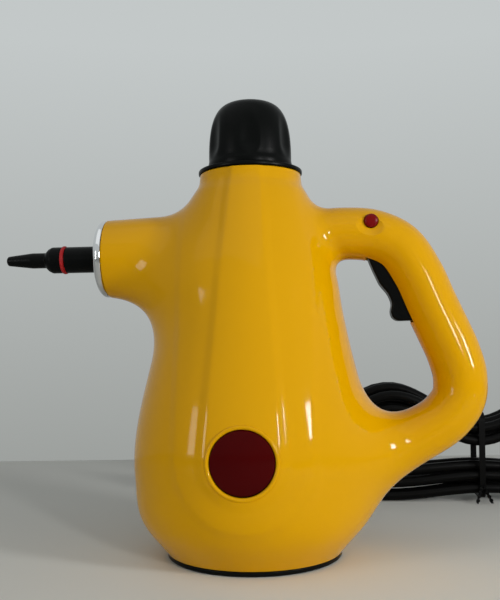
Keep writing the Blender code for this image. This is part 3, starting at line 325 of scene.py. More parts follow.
def turned(outline, at=(0, 0, 0), along=(0, 0, 1), sides=96):
    """Points and faces of a closed outline turned round an axis."""
    points, rings, faces = [], [], []
    turn_to = Vector((0, 0, 1)).rotation_difference(Vector(along)).to_matrix()
    for radius, reach in outline:
        count = sides if radius > ON_AXIS else 1
        rings.append(range(len(points), len(points) + count))
        for k in range(count):
            turn = 2 * math.pi * k / sides
            spot = Vector((radius * math.cos(turn), radius * math.sin(turn), reach))
            points.append(turn_to @ spot + Vector(at))
    for low, high in zip(rings, rings[1:] + rings[:1]):
        for k in range(sides):
            corners = [low[k % len(low)], low[(k + 1) % len(low)],
                       high[(k + 1) % len(high)], high[k % len(high)]]
            corners = list(dict.fromkeys(corners))
            if len(corners) > 2:
                faces.append(corners)
    return points, faces


def joined(*shapes):
    """Several (points, faces) as one."""
    points, faces = [], []
    for more_points, more_faces in shapes:
        faces += [tuple(k + len(points) for k in face) for face in more_faces]
        points += list(more_points)
    return points, faces


# %% [markdown]
# ## Cord
# The mains cord leaves a gland low on the far side, drops to the table and is wound into a hank that stands
# on its edge behind the handle, tied at its waist. It is one curve, so its length can be measured: the same
# route as in the part's source, read more finely.

# %% Routes


def hermite(stations, values, at):
    """A smooth curve through values at rising stations."""
    stations = np.asarray(stations)
    values = np.asarray(values)
    slope = np.gradient(values, stations, axis=0)
    at = np.clip(at, stations[0], stations[-1])
    k = np.clip(np.searchsorted(stations, at, side="right") - 1, 0, len(stations) - 2)
    span = stations[k + 1] - stations[k]
    t = (at - stations[k]) / span
    if values.ndim > 1:
        t = t[:, None]
        span = span[:, None]
    rise = values[k + 1] - values[k]
    return values[k] + t * (slope[k] * span + t * (3 * rise - span * (2 * slope[k] + slope[k + 1])
                                                   + t * (span * (slope[k] + slope[k + 1]) - 2 * rise)))


def smooth_route(points, spacing):
    """Points at an even spacing on a smooth curve through a route's own points."""
    points = np.asarray(points, dtype=float)
    reach = np.concatenate(([0.0], np.cumsum(np.linalg.norm(np.diff(points, axis=0), axis=1))))
    count = max(2, int(round(reach[-1] / spacing)) + 1)
    return hermite(reach, points, np.linspace(0.0, reach[-1], count))


# %% [markdown]
# The hank is a flat loop of nearly eight turns on its edge, two loops to a layer, drawn in at the waist by
# its tie. A simulated rope would lie as it likes; straight runs and half circles stay a cord's gap apart
# and can be repeated, so each point is worked out from the number of turns so far.

# %% Hank
CORD = 6.8 * MM
CORD_GAP = 0.5 * MM
HANK_CENTRE = (144.0 * MM, 140.0 * MM)
HANK_RUN = 60.0 * MM
HANK_HALF = 38.0 * MM
HANK_STEP = 8.8 * MM
HANK_WAIST_TOP = 24.0 * MM
HANK_WAIST_FOOT = 4.0 * MM
HANK_TURNS = 7.0 + 21.5 / 24.0
HANK_Z = HANK_HALF + CORD / 2 + 0.5 * MM
LOOPS_PER_LAYER = 2
LAYER = CORD + CORD_GAP
RUN_SHARE, BEND_SHARE = 7.0, 5.0
CLIMB_SHARE = 0.29


def loop_point(turn):
    """A point of the hank after so many turns."""
    inset = HANK_STEP * (LOOPS_PER_LAYER - abs(turn % (2.0 * LOOPS_PER_LAYER) - LOOPS_PER_LAYER))
    layer = math.floor(turn / LOOPS_PER_LAYER)
    past = turn - layer * LOOPS_PER_LAYER
    climb = max(0.0, 1.0 - past / CLIMB_SHARE) if layer > 0 else 0.0
    y = HANK_CENTRE[1] + LAYER * (layer - climb * climb * (3.0 - 2.0 * climb))
    half = HANK_HALF - inset
    share = turn % 1.0 * 2 * (RUN_SHARE + BEND_SHARE)
    if share < RUN_SHARE:
        x, up = HANK_RUN * (2.0 * share / RUN_SHARE - 1.0), -1.0
    elif share < RUN_SHARE + BEND_SHARE:
        turned_by = math.pi * (share - RUN_SHARE) / BEND_SHARE
        x, up = HANK_RUN + half * math.sin(turned_by), -math.cos(turned_by)
    elif share < 2 * RUN_SHARE + BEND_SHARE:
        x, up = HANK_RUN * (1.0 - 2.0 * (share - RUN_SHARE - BEND_SHARE) / RUN_SHARE), 1.0
    else:
        turned_by = math.pi * (share - 2 * RUN_SHARE - BEND_SHARE) / BEND_SHARE
        x, up = -HANK_RUN - half * math.sin(turned_by), math.cos(turned_by)
    pinch = 0.5 + 0.5 * math.cos(math.pi * min(1.0, abs(x) / HANK_RUN))
    drawn = HANK_WAIST_TOP if up > 0 else HANK_WAIST_FOOT
    return (HANK_CENTRE[0] + x, y, HANK_Z + up * half - up * drawn * pinch)


FINE_PER_LOOP = 72
hank = [loop_point(turn) for turn in np.linspace(0.0, HANK_TURNS, round(HANK_TURNS * FINE_PER_LOOP) + 1)]
print("hank points:", len(hank))

# %% [markdown]
# The lead goes straight out of its gland and bends down to the hank, and the tail drops from the hank to
# the plug. Each bend is one cubic curve that leaves and arrives along the cord, so no kink shows and no
# bend is too tight. The whole cord is a curve object with a round bevel, which keeps it one spline.

# %% Cord
GLAND_AZIMUTH = math.radians(70.0)
GLAND_Z = 22.0 * MM
GLAND_LENGTH = 30.0 * MM
PLUG_RADIUS = 18.5 * MM
PLUG_X = -2.0 * MM
PLUG_Z = PLUG_RADIUS + 0.2 * MM
GAP = 0.3 * MM
ARC_SHARE = 0.5523
BEND_POINTS = 28
LEAD_OUT, LEAD_IN = 20.0 * MM, 30.0 * MM
SLEEVE = 1.0 * MM


def bend_between(start, out, end, into):
    """Points on one smooth bend from a point along one direction to another along a second."""
    bend = []
    for t in map(float, np.linspace(0.0, 1.0, BEND_POINTS)):
        leaving = start * (1 - t) ** 3 + (start + out) * 3 * t * (1 - t) ** 2
        bend.append(leaving + (end - into) * 3 * t * t * (1 - t) + end * t ** 3)
    return bend


gland_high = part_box("cord_gland")[1]
gland_out = Vector((math.cos(GLAND_AZIMUTH), math.sin(GLAND_AZIMUTH), 0))
gland_tip = (gland_high.y - (CORD / 2 + SLEEVE) * math.cos(GLAND_AZIMUTH)) / math.sin(GLAND_AZIMUTH)
lift = Vector((0, 0, GLAND_Z))
hank_start, hank_end = Vector(hank[0]), Vector(hank[-1])
lead = [gland_out * (gland_tip - CORD) + lift, gland_out * gland_tip + lift]
lead += bend_between(gland_out * (gland_tip + GAP + CORD) + lift, gland_out * LEAD_OUT,
                     hank_start - Vector((2 * CORD + GAP, 0, 0)), Vector((LEAD_IN, 0, 0)))
plug_y = hank_end.y
drop = hank_end.z - PLUG_Z
tail = bend_between(hank_end, Vector((0, 0, -ARC_SHARE * drop)), Vector((hank_end.x - drop, plug_y, PLUG_Z)),
                    Vector((-ARC_SHARE * drop, 0, 0)))
tail += [Vector((PLUG_X + CORD, plug_y, PLUG_Z)), Vector((PLUG_X - CORD / 2, plug_y, PLUG_Z))]
cord_points = [tuple(spot) for spot in lead] + hank + [tuple(spot) for spot in tail[1:]]
cord_curve = bpy.data.curves.new("mains_cord", "CURVE")
cord_curve.dimensions = "3D"
cord_curve.bevel_depth = CORD / 2
cord_curve.bevel_resolution = 5
cord_curve.use_fill_caps = True
spline = cord_curve.splines.new("POLY")
spline.points.add(len(cord_points) - 1)
for point, spot in zip(spline.points, cord_points):
    point.co = (*spot, 1.0)
cord_curve.materials.append(pvc)
cord = bpy.data.objects.new("mains_cord", cord_curve)
scene.collection.objects.link(cord)
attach(cord, "housing")
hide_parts("cord_lead", "cord_hank", "cord_tail")

# %% [markdown]
# ## Plug, gland and tie
# The plug is a moulded two-pin one with rings to grip it by. The rings could be cut with Booleans, but as
# notches in the turned outline they come out clean and cost nothing.

# %% Plug
PLUG_FACE, MOULD_EDGE, PIN_POINT = 42.0 * MM, 0.8 * MM, 2.0 * MM
GRIP_RINGS, FIRST_RING, RING_STEP, RING_DEPTH = 4, 28.5 * MM, 2.6 * MM, 0.6 * MM
plug_outline = [(0, 0), (CORD / 2 + SLEEVE, 0), (CORD / 2 + 3.0 * MM, 14.0 * MM),
                (PLUG_RADIUS * 0.6, 19.0 * MM), (PLUG_RADIUS * 0.92, 24.0 * MM), (PLUG_RADIUS, 27.0 * MM)]
for ring in range(GRIP_RINGS):
    low = FIRST_RING + RING_STEP * ring
    plug_outline += [(PLUG_RADIUS, low), (PLUG_RADIUS - RING_DEPTH, low + 0.5 * MM),
                     (PLUG_RADIUS - RING_DEPTH, low + 0.9 * MM), (PLUG_RADIUS, low + 1.4 * MM)]
plug_outline += [(PLUG_RADIUS, PLUG_FACE - 1.0 * MM), (PLUG_RADIUS - 1.0 * MM, PLUG_FACE), (0, PLUG_FACE)]
plug_at = (PLUG_X, plug_y, PLUG_Z)
plug = piece("plug_moulding", *turned(eased(plug_outline, MOULD_EDGE), plug_at, (-1, 0, 0)), black, "housing",
             "black_abs", "plug_body")
for number in (1, 2):
    low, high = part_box(f"plug_pin_{number}")
    middle = (low + high) / 2
    pin_radius = (high.z - low.z) / 2
    pin_length = high.x - low.x
    pin_outline = [(0, 0), (pin_radius, 0), (pin_radius, pin_length - PIN_POINT),
                   (pin_radius * 0.5, pin_length), (0, pin_length)]
    prong = turned(eased(pin_outline, MOULD_EDGE), (high.x, middle.y, middle.z), (-1, 0, 0), 32)
    piece(f"plug_prong_{number}", *prong, chrome, "housing", "chrome_plate",
                      f"plug_pin_{number}")

# %% [markdown]
# The gland is a tapered sleeve. Its ribs let it bend with the cord, so that the cord doesn't break at the
# housing; they are notches in its outline, each a little nearer the cord than the one before.

# %% Gland
GLAND_RADIUS, GLAND_FLANGE, GLAND_DEEP, FLANGE_THICK = 6.0 * MM, 7.6 * MM, 10.6 * MM, 2.0 * MM
PLAIN_PART = 4.0 * MM
GLAND_RIBS, FIRST_RIB, RIB_STEP, RIB_DEPTH = 7, 5.0 * MM, 3.3 * MM, 0.9 * MM
gland_skin = gland_tip - GLAND_LENGTH
gland_back = gland_skin - GLAND_DEEP
gland_outline = [(0, gland_back), (GLAND_FLANGE, gland_back), (GLAND_FLANGE, gland_back + FLANGE_THICK),
                 (GLAND_RADIUS, gland_back + FLANGE_THICK), (GLAND_RADIUS, gland_skin + PLAIN_PART)]
for rib in range(GLAND_RIBS):
    past = FIRST_RIB + RIB_STEP * rib
    low = gland_skin + past
    taper = (past - PLAIN_PART) / (GLAND_LENGTH - PLAIN_PART)
    radius = GLAND_RADIUS - (GLAND_RADIUS - CORD / 2 - SLEEVE) * taper
    gland_outline += [(radius, low), (radius - RIB_DEPTH, low + 0.5 * MM),
                      (radius - RIB_DEPTH, low + 1.3 * MM), (radius - 0.1 * MM, low + 1.8 * MM)]
gland_outline += [(CORD / 2 + SLEEVE, gland_tip - 0.5 * MM), (CORD / 2 + 0.5 * MM, gland_tip), (0, gland_tip)]
piece("gland_sleeve", *turned(eased(gland_outline, 0.3 * MM, 3), lift, gland_out, 48), black, "housing",
      "black_abs", "cord_gland")

# %% [markdown]
# The tie is a flat twisted strip: a band round the hank's waist, and two ends twisted together that hang
# below it. Flat straps keep their edges when they are built point by point, as here; a remesh or a
# simulation would lose them.

# %% Tie
tie_low, tie_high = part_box("hank_tie")
TIE_THICK = 1.2 * MM
TIE_WIDE = 4.0 * MM


def band(low, high, thick, wide, corner, steps=6):
    """A flat strap round a box in the YZ plane, with round corners."""
    ring = []
    for sign_y, sign_z, start in ((1, 1, 0.0), (-1, 1, 0.5), (-1, -1, 1.0), (1, -1, 1.5)):
        centre_y = high.y - corner if sign_y > 0 else low.y + corner
        centre_z = high.z - corner if sign_z > 0 else low.z + corner
        for k in range(steps + 1):
            turn = math.pi * (start + 0.5 * k / steps)
            ring.append((centre_y, centre_z, math.cos(turn), math.sin(turn)))
    points, faces = [], []
    middle = (low.x + high.x) / 2
    for y, z, out_y, out_z in ring:
        for radius, side in ((corner, -1), (corner, 1), (corner - thick, 1), (corner - thick, -1)):
            points.append((middle + side * wide / 2, y + out_y * radius, z + out_z * radius))
    count = len(ring)
    for k in range(count):
        for j in range(4):
            a, b = 4 * k + j, 4 * k + (j + 1) % 4
            c, d = 4 * ((k + 1) % count) + (j + 1) % 4, 4 * ((k + 1) % count) + j
            faces.append((a, b, c, d))
    return points, faces


def twisted(start, end, wide, thick, turns, steps=40):
    """A flat strip twisted along its length."""
    start, end = Vector(start), Vector(end)
    along = (end - start).normalized()
    side = along.orthogonal().normalized()
    other = along.cross(side)
    points, faces = [], []
    for k in range(steps + 1):
        t = k / steps
        turn = 2 * math.pi * turns * t
        flat = side * math.cos(turn) + other * math.sin(turn)
        deep = other * math.cos(turn) - side * math.sin(turn)
        for a, b in ((-1, -1), (1, -1), (1, 1), (-1, 1)):
            points.append(start.lerp(end, t) + flat * (a * wide / 2) + deep * (b * thick / 2))
    for k in range(steps):
        for j in range(4):
            faces.append((4 * k + j, 4 * k + (j + 1) % 4, 4 * k + 4 + (j + 1) % 4, 4 * k + 4 + j))
    faces += [(3, 2, 1, 0), tuple(4 * steps + j for j in range(4))]
    return points, faces


TWIST_WIDE, TWIST_THICK, TWIST_TURNS = 2.4 * MM, 0.9 * MM, 2.5
TIE_CORNER = 6.0 * MM
tie_middle = (tie_low.x + tie_high.x) / 2
tie_foot = tie_low.z + 10.0 * MM
twist_start = (tie_middle, tie_low.y + TIE_THICK, tie_foot)
twist_ends = [(tie_middle + side * 5.0 * MM, tie_low.y - 6.0 * MM, 1.0 * MM) for side in (-1, 1)]
twists = [twisted(twist_start, end, TWIST_WIDE, TWIST_THICK, TWIST_TURNS) for end in twist_ends]
tie_band = band(tie_low, tie_high, TIE_THICK, TIE_WIDE, TIE_CORNER)
tie = piece("twist_tie", *joined(tie_band, *twists), pvc, "housing", "black_abs", "hank_tie")

# %% [markdown]
# ## Housing
# Body, spout and handle are one moulding with soft blends, so the shell is made from one field: the smooth
# smaller of three distances, to a turned body with two raised tongues, to a spout and to a swept loop. A
# coarse grid of quads is laid over one half, split three times, and each new point is moved onto the place
# where the field is zero.

# %% The housing's field
WALL = 2.5 * MM
SEAM = 0.3 * MM
BODY_TOP = 197.5 * MM
BODY_STATIONS = np.array((3.0, 18.0, 42.0, 111.0, 182.0, 186.75, 191.5, 197.5)) * MM
BODY_RADII = np.array((45.5, 57.4, 61.8, 50.4, 32.0, 30.0, 27.4, 26.4)) * MM
SPOUT_Z, SPOUT_RADIUS, SPOUT_REACH, SPOUT_FLARE = 155.5 * MM, 20.5 * MM, 75.5 * MM, 0.045
SPOUT_BLEND, SPOUT_UNDER = 14.0 * MM, 35.0 * MM
HANDLE_DEPTH, HANDLE_HALF, HANDLE_BLEND, HANDLE_UNDER = 16.0 * MM, 13.5 * MM, 9.0 * MM, 29.0 * MM
HANDLE_ROUTE = ((34.0, 165.4), (49.0, 166.0), (63.0, 164.6), (75.2, 158.8), (85.6, 144.0), (92.0, 129.3),
                (98.0, 116.1), (103.2, 104.0), (106.5, 91.4), (105.7, 80.6), (99.2, 71.0), (87.8, 62.9),
                (72.3, 54.8), (50.5, 49.0))
HANDLE_MIDDLE, ROOT_SPAN = 112.0 * MM, 30.0 * MM
HANDLE_PATH = smooth_route([(x * MM, z * MM) for x, z in HANDLE_ROUTE], 1.0 * MM)
LENS_Z, LENS_RADIUS = 55.5 * MM, 15.0 * MM
TONGUE_STEP, TONGUE_SOFT = 0.9 * MM, 2.5 * MM
TONGUE_TOP_HALF, TONGUE_END_HALF, APRON_HALF = 8.5 * MM, 20.0 * MM, 33.5 * MM
FACING_FROM, FACING_SPAN = 0.2, 0.5
NEAR_AXIS = 1e-9
POINTS_AT_ONCE = 4000
WIDEST, HALVINGS = 90 * MM, 40


def soft_step(distance, softness):
    """Goes from 1 inside an edge to 0 outside it."""
    t = np.clip(0.5 - 0.5 * distance / softness, 0.0, 1.0)
    return t * t * (3.0 - 2.0 * t)


def side_relief(x, z):
    """Two nested tongues that run down each side and end round the lens."""
    above = np.clip((z - LENS_Z) / (BODY_TOP - LENS_Z), 0.0, 1.0)
    half = TONGUE_END_HALF + (TONGUE_TOP_HALF - TONGUE_END_HALF) * above
    reach = np.hypot(x, np.minimum(z - LENS_Z, 0.0))
    return TONGUE_STEP * (soft_step(reach - half, TONGUE_SOFT) + soft_step(reach - APRON_HALF, TONGUE_SOFT))


def blend(a, b, width):
    """The smaller of two distances, with a fillet where they are close."""
    near = np.maximum(width - np.abs(a - b), 0.0) / width
    return np.minimum(a, b) - near * near * width / 4.0


def root_blend(z):
    """The fillet at the handle's two roots, wider at the lower one."""
    return HANDLE_BLEND + (HANDLE_UNDER - HANDLE_BLEND) * soft_step(z - HANDLE_MIDDLE, ROOT_SPAN)


def skin(points):
    """Signed distance, near enough, from the housing's outer surface."""
    x, y, z = points.T
    across = np.hypot(x, y)
    facing = np.clip((np.abs(y) / np.maximum(across, NEAR_AXIS) - FACING_FROM) / FACING_SPAN, 0.0, 1.0)
    body = across - hermite(BODY_STATIONS, BODY_RADII, z) - facing * side_relief(x, z)
    spout = np.sqrt(y ** 2 + (z - SPOUT_Z) ** 2 + np.maximum(x, 0.0) ** 2) - SPOUT_RADIUS
    spout -= SPOUT_FLARE * np.clip(x + SPOUT_REACH, 0.0, SPOUT_REACH)
    off = np.concatenate([np.sqrt(((some[:, None, (0, 2)] - HANDLE_PATH[None]) ** 2).sum(2).min(1))
                          for some in np.array_split(points, max(1, len(points) // POINTS_AT_ONCE))])
    grip = (np.sqrt((off / HANDLE_HALF) ** 2 + (y / HANDLE_DEPTH) ** 2) - 1.0) * HANDLE_HALF
    under = SPOUT_BLEND + (SPOUT_UNDER - SPOUT_BLEND) * soft_step(z - SPOUT_Z, SPOUT_RADIUS)
    return blend(blend(body, spout, under), grip, root_blend(z))


def skin_normals(points):
    """The field's gradient, by small steps."""
    step = 0.02 * MM
    slopes = [(skin(points + step * axis) - skin(points - step * axis)) / (2 * step) for axis in np.eye(3)]
    return np.stack(slopes, axis=1)


def wall_at(x, z):
    """How far from the seam the outer skin is, at a point of the side view."""
    low, high = 0.0, WIDEST
    for halving in range(HALVINGS):
        middle = (low + high) / 2
        if skin(np.array([(x, middle, z)]))[0] < 0:
            low = middle
        else:
            high = middle
    return low


print("skin beside the lens, mm from the seam:", round(wall_at(0.0, LENS_Z) / MM, 2))

# %% [markdown]
# The coarse grid has rows up the body and columns round its half, with three holes; the spout and the
# handle are bridged to the edges of those holes. Points near a hole relax towards their neighbours so that
# the quads stay even.

# %% The coarse grid
COLUMNS, HANDLE_RINGS, SPOUT_RINGS = 20, 22, 5
ROWS = np.array((3.0, 9.0, 17.0, 27.0, 42.0, 58.0, 73.0, 88.0, 103.0, 118.0, 131.0, 143.5, 156.0, 168.5,
                 183.0, 187.0, 191.5, 197.5)) * MM
HOLES = {"spout": (10, 14, 0, 4),
         "handle_top": (11, 14, COLUMNS - 3, COLUMNS),
         "handle_foot": (3, 6, COLUMNS - 3, COLUMNS)}
FREE, ROUND_RIM, SPOUT_RIM = 0, 1, 2
LONGEST_MOVE, FLATTEST_SLOPE = 2.0 * MM, 0.05


def settle(points, rim, seam):
    """Moves points onto the skin, keeps rims on their circles and the seam in its plane."""
    slope = skin_normals(points)
    move = slope * (skin(points) / np.maximum((slope ** 2).sum(1), FLATTEST_SLOPE))[:, None]
    points = points - np.where((rim == FREE)[:, None], np.clip(move, -LONGEST_MOVE, LONGEST_MOVE), 0.0)
    ring = rim == ROUND_RIM
    wanted = hermite(BODY_STATIONS, BODY_RADII, points[ring, 2])
    points[ring, :2] *= (wanted / np.hypot(*points[ring, :2].T))[:, None]
    end = rim == SPOUT_RIM
    from_axis = points[end, 1:] - (0.0, SPOUT_Z)
    points[end, 1:] = (0.0, SPOUT_Z) + from_axis * (SPOUT_RADIUS / np.hypot(*from_axis.T))[:, None]
    points[seam, 1] = 0.0
    return points


print("rows and columns of the coarse grid:", len(ROWS), COLUMNS)

# %% [markdown]
# The grid is laid in this order: the body's rows and columns without the holes, then the spout's rings,
# then the handle's rings from its upper hole to its lower one. Every point is marked for the seam or a rim
# that it must keep to.

# %% Laying the coarse half
SPOUT_START, HANDLE_CLEAR = 30.0 * MM, 9.0 * MM
SWEEPS = 40


def coarse_half():
    """Points, quads, seam marks and rim marks of the lamp side."""
    points, faces, index, seam, rim, loose = [], [], {}, [], [], []

    def put(point, on_seam, on_rim=FREE, is_loose=False):
        points.append(point)
        seam.append(on_seam)
        rim.append(on_rim)
        loose.append(is_loose)
        return len(points) - 1

    def in_hole(row, column):
        return any(low < row < high and left <= column <= right and (left == 0 or column > left)
                   and (right == COLUMNS or column < right) for low, high, left, right in HOLES.values())

    def face_in_hole(row, column):
        return any(low <= row < high and left <= column < right for low, high, left, right in HOLES.values())

    def near_hole(row, column):
        return any(low - 1 <= row <= high + 1 and left - 1 <= column <= right + 1
                   for low, high, left, right in HOLES.values())

    radii = hermite(BODY_STATIONS, BODY_RADII, ROWS)
    for row, (z, radius) in enumerate(zip(ROWS, radii)):
        for column in range(COLUMNS + 1):
            if in_hole(row, column):
                continue
            turn = math.pi * column / COLUMNS
            on_rim = ROUND_RIM if row in (0, len(ROWS) - 1) else FREE
            spot = (-radius * math.cos(turn), -radius * math.sin(turn), z)
            relaxes = near_hole(row, column) and not on_rim
            index[row, column] = put(spot, column in (0, COLUMNS), on_rim, relaxes)
    for row in range(len(ROWS) - 1):
        for column in range(COLUMNS):
            if not face_in_hole(row, column):
                corners = ((row, column), (row, column + 1), (row + 1, column + 1), (row + 1, column))
                faces.append(tuple(index[corner] for corner in corners))

    def edge_of(name, from_top):
        low, high, left, right = HOLES[name]
        out = range(left, right + 1) if left == 0 else range(right, left - 1, -1)
        first, final, step = (high, low, -1) if from_top else (low, high, 1)
        path = [(first, column) for column in out]
        path += [(row, out[-1]) for row in range(first + step, final, step)]
        path += [(final, column) for column in reversed(out)]
        return [index[key] for key in path]

    def ring(centre, outward, half, depth, count, on_rim):
        made = []
        for k in range(count):
            turn = math.pi * k / (count - 1)
            x, z = centre + outward * half * math.cos(turn)
            made.append(put((x, -depth * math.sin(turn), z), k in (0, count - 1), on_rim, on_rim == FREE))
        return made

    def bridge(low, high):
        faces.extend((low[k], low[k + 1], high[k + 1], high[k]) for k in range(len(low) - 1))

    before = edge_of("spout", True)
    for x in np.linspace(-SPOUT_REACH + SPOUT_START, -SPOUT_REACH, SPOUT_RINGS):
        after = ring(np.array((x, SPOUT_Z)), np.array((0.0, 1.0)), SPOUT_RADIUS, SPOUT_RADIUS, len(before),
                     SPOUT_RIM if x <= -SPOUT_REACH else FREE)
        bridge(before, after)
        before = after
    clear = HANDLE_PATH[:, 0] > np.interp(HANDLE_PATH[:, 1], ROWS, radii) + HANDLE_CLEAR
    outer_path = HANDLE_PATH[clear]
    before = edge_of("handle_top", True)
    foot = edge_of("handle_foot", False)
    for k in np.linspace(0, len(outer_path) - 1, HANDLE_RINGS).astype(int):
        onward = outer_path[min(k + 1, len(outer_path) - 1)] - outer_path[max(k - 1, 0)]
        onward = onward / np.linalg.norm(onward)
        ring_up = np.array((-onward[1], onward[0]))
        after = ring(outer_path[k], ring_up, HANDLE_HALF, HANDLE_DEPTH, len(before), FREE)
        bridge(before, after)
        before = after
    bridge(before, foot)
    points, seam, rim, loose = np.array(points), np.array(seam), np.array(rim), np.array(loose)
    face_sides = {tuple(sorted(pair)) for face in faces for pair in zip(face, face[1:] + face[:1])}
    edges = np.array(sorted(face_sides))
    valence = np.bincount(edges.ravel(), minlength=len(points))[:, None]
    for sweep in range(SWEEPS):
        total = np.zeros_like(points)
        np.add.at(total, edges[:, 0], points[edges[:, 1]])
        np.add.at(total, edges[:, 1], points[edges[:, 0]])
        points = settle(np.where(loose[:, None], 0.5 * points + 0.5 * total / valence, points), rim, seam)
    return points, np.array(faces), seam, rim


half = coarse_half()
print("quads of the coarse half:", len(half[1]))

# %% [markdown]
# A Subdivision modifier would split the quads but pull them off the shape. Here each quad becomes four and
# all points go back to the skin after each split, so the fine mesh lies on the field.

# %% Splitting the quads
SPLITS, SETTLINGS = 3, 3


def split_quads(points, faces, seam, rim):
    """Each quad becomes four; a new point keeps a mark that both ends of its edge share."""
    pairs = np.sort(np.stack((faces, np.roll(faces, -1, axis=1)), axis=2).reshape(-1, 2), axis=1)
    edges, which = np.unique(pairs, axis=0, return_inverse=True)
    which = which.reshape(-1, 4) + len(points)
    centre = np.arange(len(faces)) + len(points) + len(edges)
    a, b = edges.T
    more = np.concatenate((points, (points[a] + points[b]) / 2, points[faces].mean(1)))
    blank = np.zeros(len(faces), dtype=int)
    seam = np.concatenate((seam, seam[a] & seam[b], blank.astype(bool)))
    rim = np.concatenate((rim, np.where(rim[a] == rim[b], rim[a], FREE), blank))
    quads = np.concatenate([np.stack((faces[:, k], which[:, k], centre, which[:, k - 1]), axis=1)
                            for k in range(4)])
    return more, quads, seam, rim


for split in range(SPLITS):
    points, quads, seam, rim = split_quads(*half)
    for sweep in range(SETTLINGS):
        points = settle(points, rim, seam)
    half = points, quads, seam, rim
farthest = float(np.abs(skin(half[0])).max()) / MM
print("quads on one half:", len(half[1]), "farthest from the skin, mm:", round(farthest, 3))

# %% [markdown]
# A half shell is this skin, a second one a wall's thickness inside it, and the edges between them. A
# Solidify modifier would do nearly the same, but it tilts the seam's edge; here the seam stays flat, so the
# two halves meet.

# %% The half shells
points, quads, seam, rim = half
normals = skin_normals(points)
normals /= np.linalg.norm(normals, axis=1)[:, None]
both = np.concatenate((points, points - WALL * normals))
both[:, 1] = np.where(np.concatenate((seam, seam)), -SEAM / 2, np.minimum(both[:, 1], -SEAM / 2))
count = len(points)
pairs = np.stack((quads, np.roll(quads, -1, axis=1)), axis=2).reshape(-1, 2)
_, first_use, uses = np.unique(np.sort(pairs, axis=1), axis=0, return_index=True, return_counts=True)
rims = pairs[first_use[uses == 1]]
shell = np.concatenate((quads, quads[:, ::-1] + count,
                        np.stack((rims[:, 1], rims[:, 0], rims[:, 0] + count, rims[:, 1] + count), axis=1)))
left = piece("shell_left", both, shell, yellow, "housing", "yellow_abs", "housing_left")
right = piece("shell_right", both * (1, -1, 1), shell[:, ::-1], yellow, "housing", "yellow_abs",
              "housing_right")

# %% [markdown]
# Holes are cut with Boolean tools: for the lens and the lock button on the lamp side, for the gland and the
# screws on the far side, and the trigger's slot in both. Holes in the grid itself would need a finer grid
# everywhere.

# %% Cutting tools


def carve(made, name, shapes):
    """Cuts closed shapes out of a piece."""
    tool = piece(name, *joined(*shapes), yellow, None, None)
    step = made.modifiers.new("carve", "BOOLEAN")
    step.object = tool
    step.operation = "DIFFERENCE"
    step.solver = "MANIFOLD"
    bpy.context.view_layer.update()
    carved = bpy.data.meshes.new_from_object(made.evaluated_get(bpy.context.evaluated_depsgraph_get()))
    made.modifiers.clear()
    made.data = carved
    smooth(made)
    bpy.data.objects.remove(tool)


def cylinder(radius, start, length, along, sides=64):
    """A plain cylinder as (points, faces)."""
    return turned([(0, 0), (radius, 0), (radius, length), (0, length)], start, along, sides)


def slab(outline, low, high):
    """An outline in the XZ plane drawn out along Y."""
    many = len(outline)
    spots = [(x, y, z) for y in (low, high) for x, z in outline]
    sides = [(k, (k + 1) % many, many + (k + 1) % many, many + k) for k in range(many)]
    return spots, sides + [tuple(reversed(range(many))), tuple(range(many, 2 * many))]


# %% Cuts
LOCK_AT = (61.8 * MM, 170.2 * MM)
LOCK_RADIUS = 3.5 * MM
SLOT = ((59.3, 145.0), (59.3, 159.0), (72.0, 159.0), (90.0, 119.0), (69.0, 119.0))
SLOT_HALF = 6.1 * MM
SCREW_PLACES = ((-46.3, 101.0), (46.3, 105.0), (-57.0, 142.0), (107.0, 92.0), (82.0, 60.5))
SCREW_HEAD, HEAD_SEAT = 3.2 * MM, 6.0 * MM
DISH_RADIUS, DISH_DEPTH = 14.0 * MM, 1.3 * MM
CUT_LENGTH, SCREW_CUT = 30.0 * MM, 90.0 * MM
GLAND_HOLE = 6.3 * MM
TO_LAMP, TO_FAR = (0, -1, 0), (0, 1, 0)

slot_cut = slab([(x * MM, z * MM) for x, z in SLOT], -SLOT_HALF, SLOT_HALF)
lock_wall = wall_at(*LOCK_AT)
lens_wall = wall_at(0.0, LENS_Z)
dish_top = lock_wall + DISH_RADIUS - DISH_DEPTH
dish = turned([(DISH_RADIUS * math.sin(t), -DISH_RADIUS * math.cos(t)) for t in np.linspace(0, math.pi, 33)],
              (LOCK_AT[0], -dish_top, LOCK_AT[1]), TO_LAMP, 64)
LENS_CUT_IN, LOCK_CUT_IN, GLAND_CUT_IN = 14.0 * MM, 6.0 * MM, 12.0 * MM
lens_cut = cylinder(LENS_RADIUS + GAP, (0, -lens_wall + LENS_CUT_IN, LENS_Z), CUT_LENGTH, TO_LAMP, 96)
lock_cut = cylinder(LOCK_RADIUS + GAP, (LOCK_AT[0], -LOCK_CUT_IN, LOCK_AT[1]), CUT_LENGTH, TO_LAMP)
gland_cut = cylinder(GLAND_HOLE, gland_out * (gland_skin - GLAND_CUT_IN) + lift, CUT_LENGTH, gland_out)
carve(left, "left_cuts", [slot_cut, lens_cut])
carve(left, "lock_dish", [dish])
carve(left, "lock_cut", [lock_cut])
right_cuts = [slot_cut, gland_cut]
right_cuts += [cylinder(SCREW_HEAD + GAP, (x * MM, HEAD_SEAT, z * MM), SCREW_CUT, TO_FAR, 40)
               for x, z in SCREW_PLACES]
carve(right, "right_cuts", right_cuts)
print("faces of the shells:", len(left.data.polygons), len(right.data.polygons))

# %% [markdown]
# Behind each screw hole stands a hollow post, the boss, with the screw's head at its bottom. Without it one
# would look through the hole into the body.

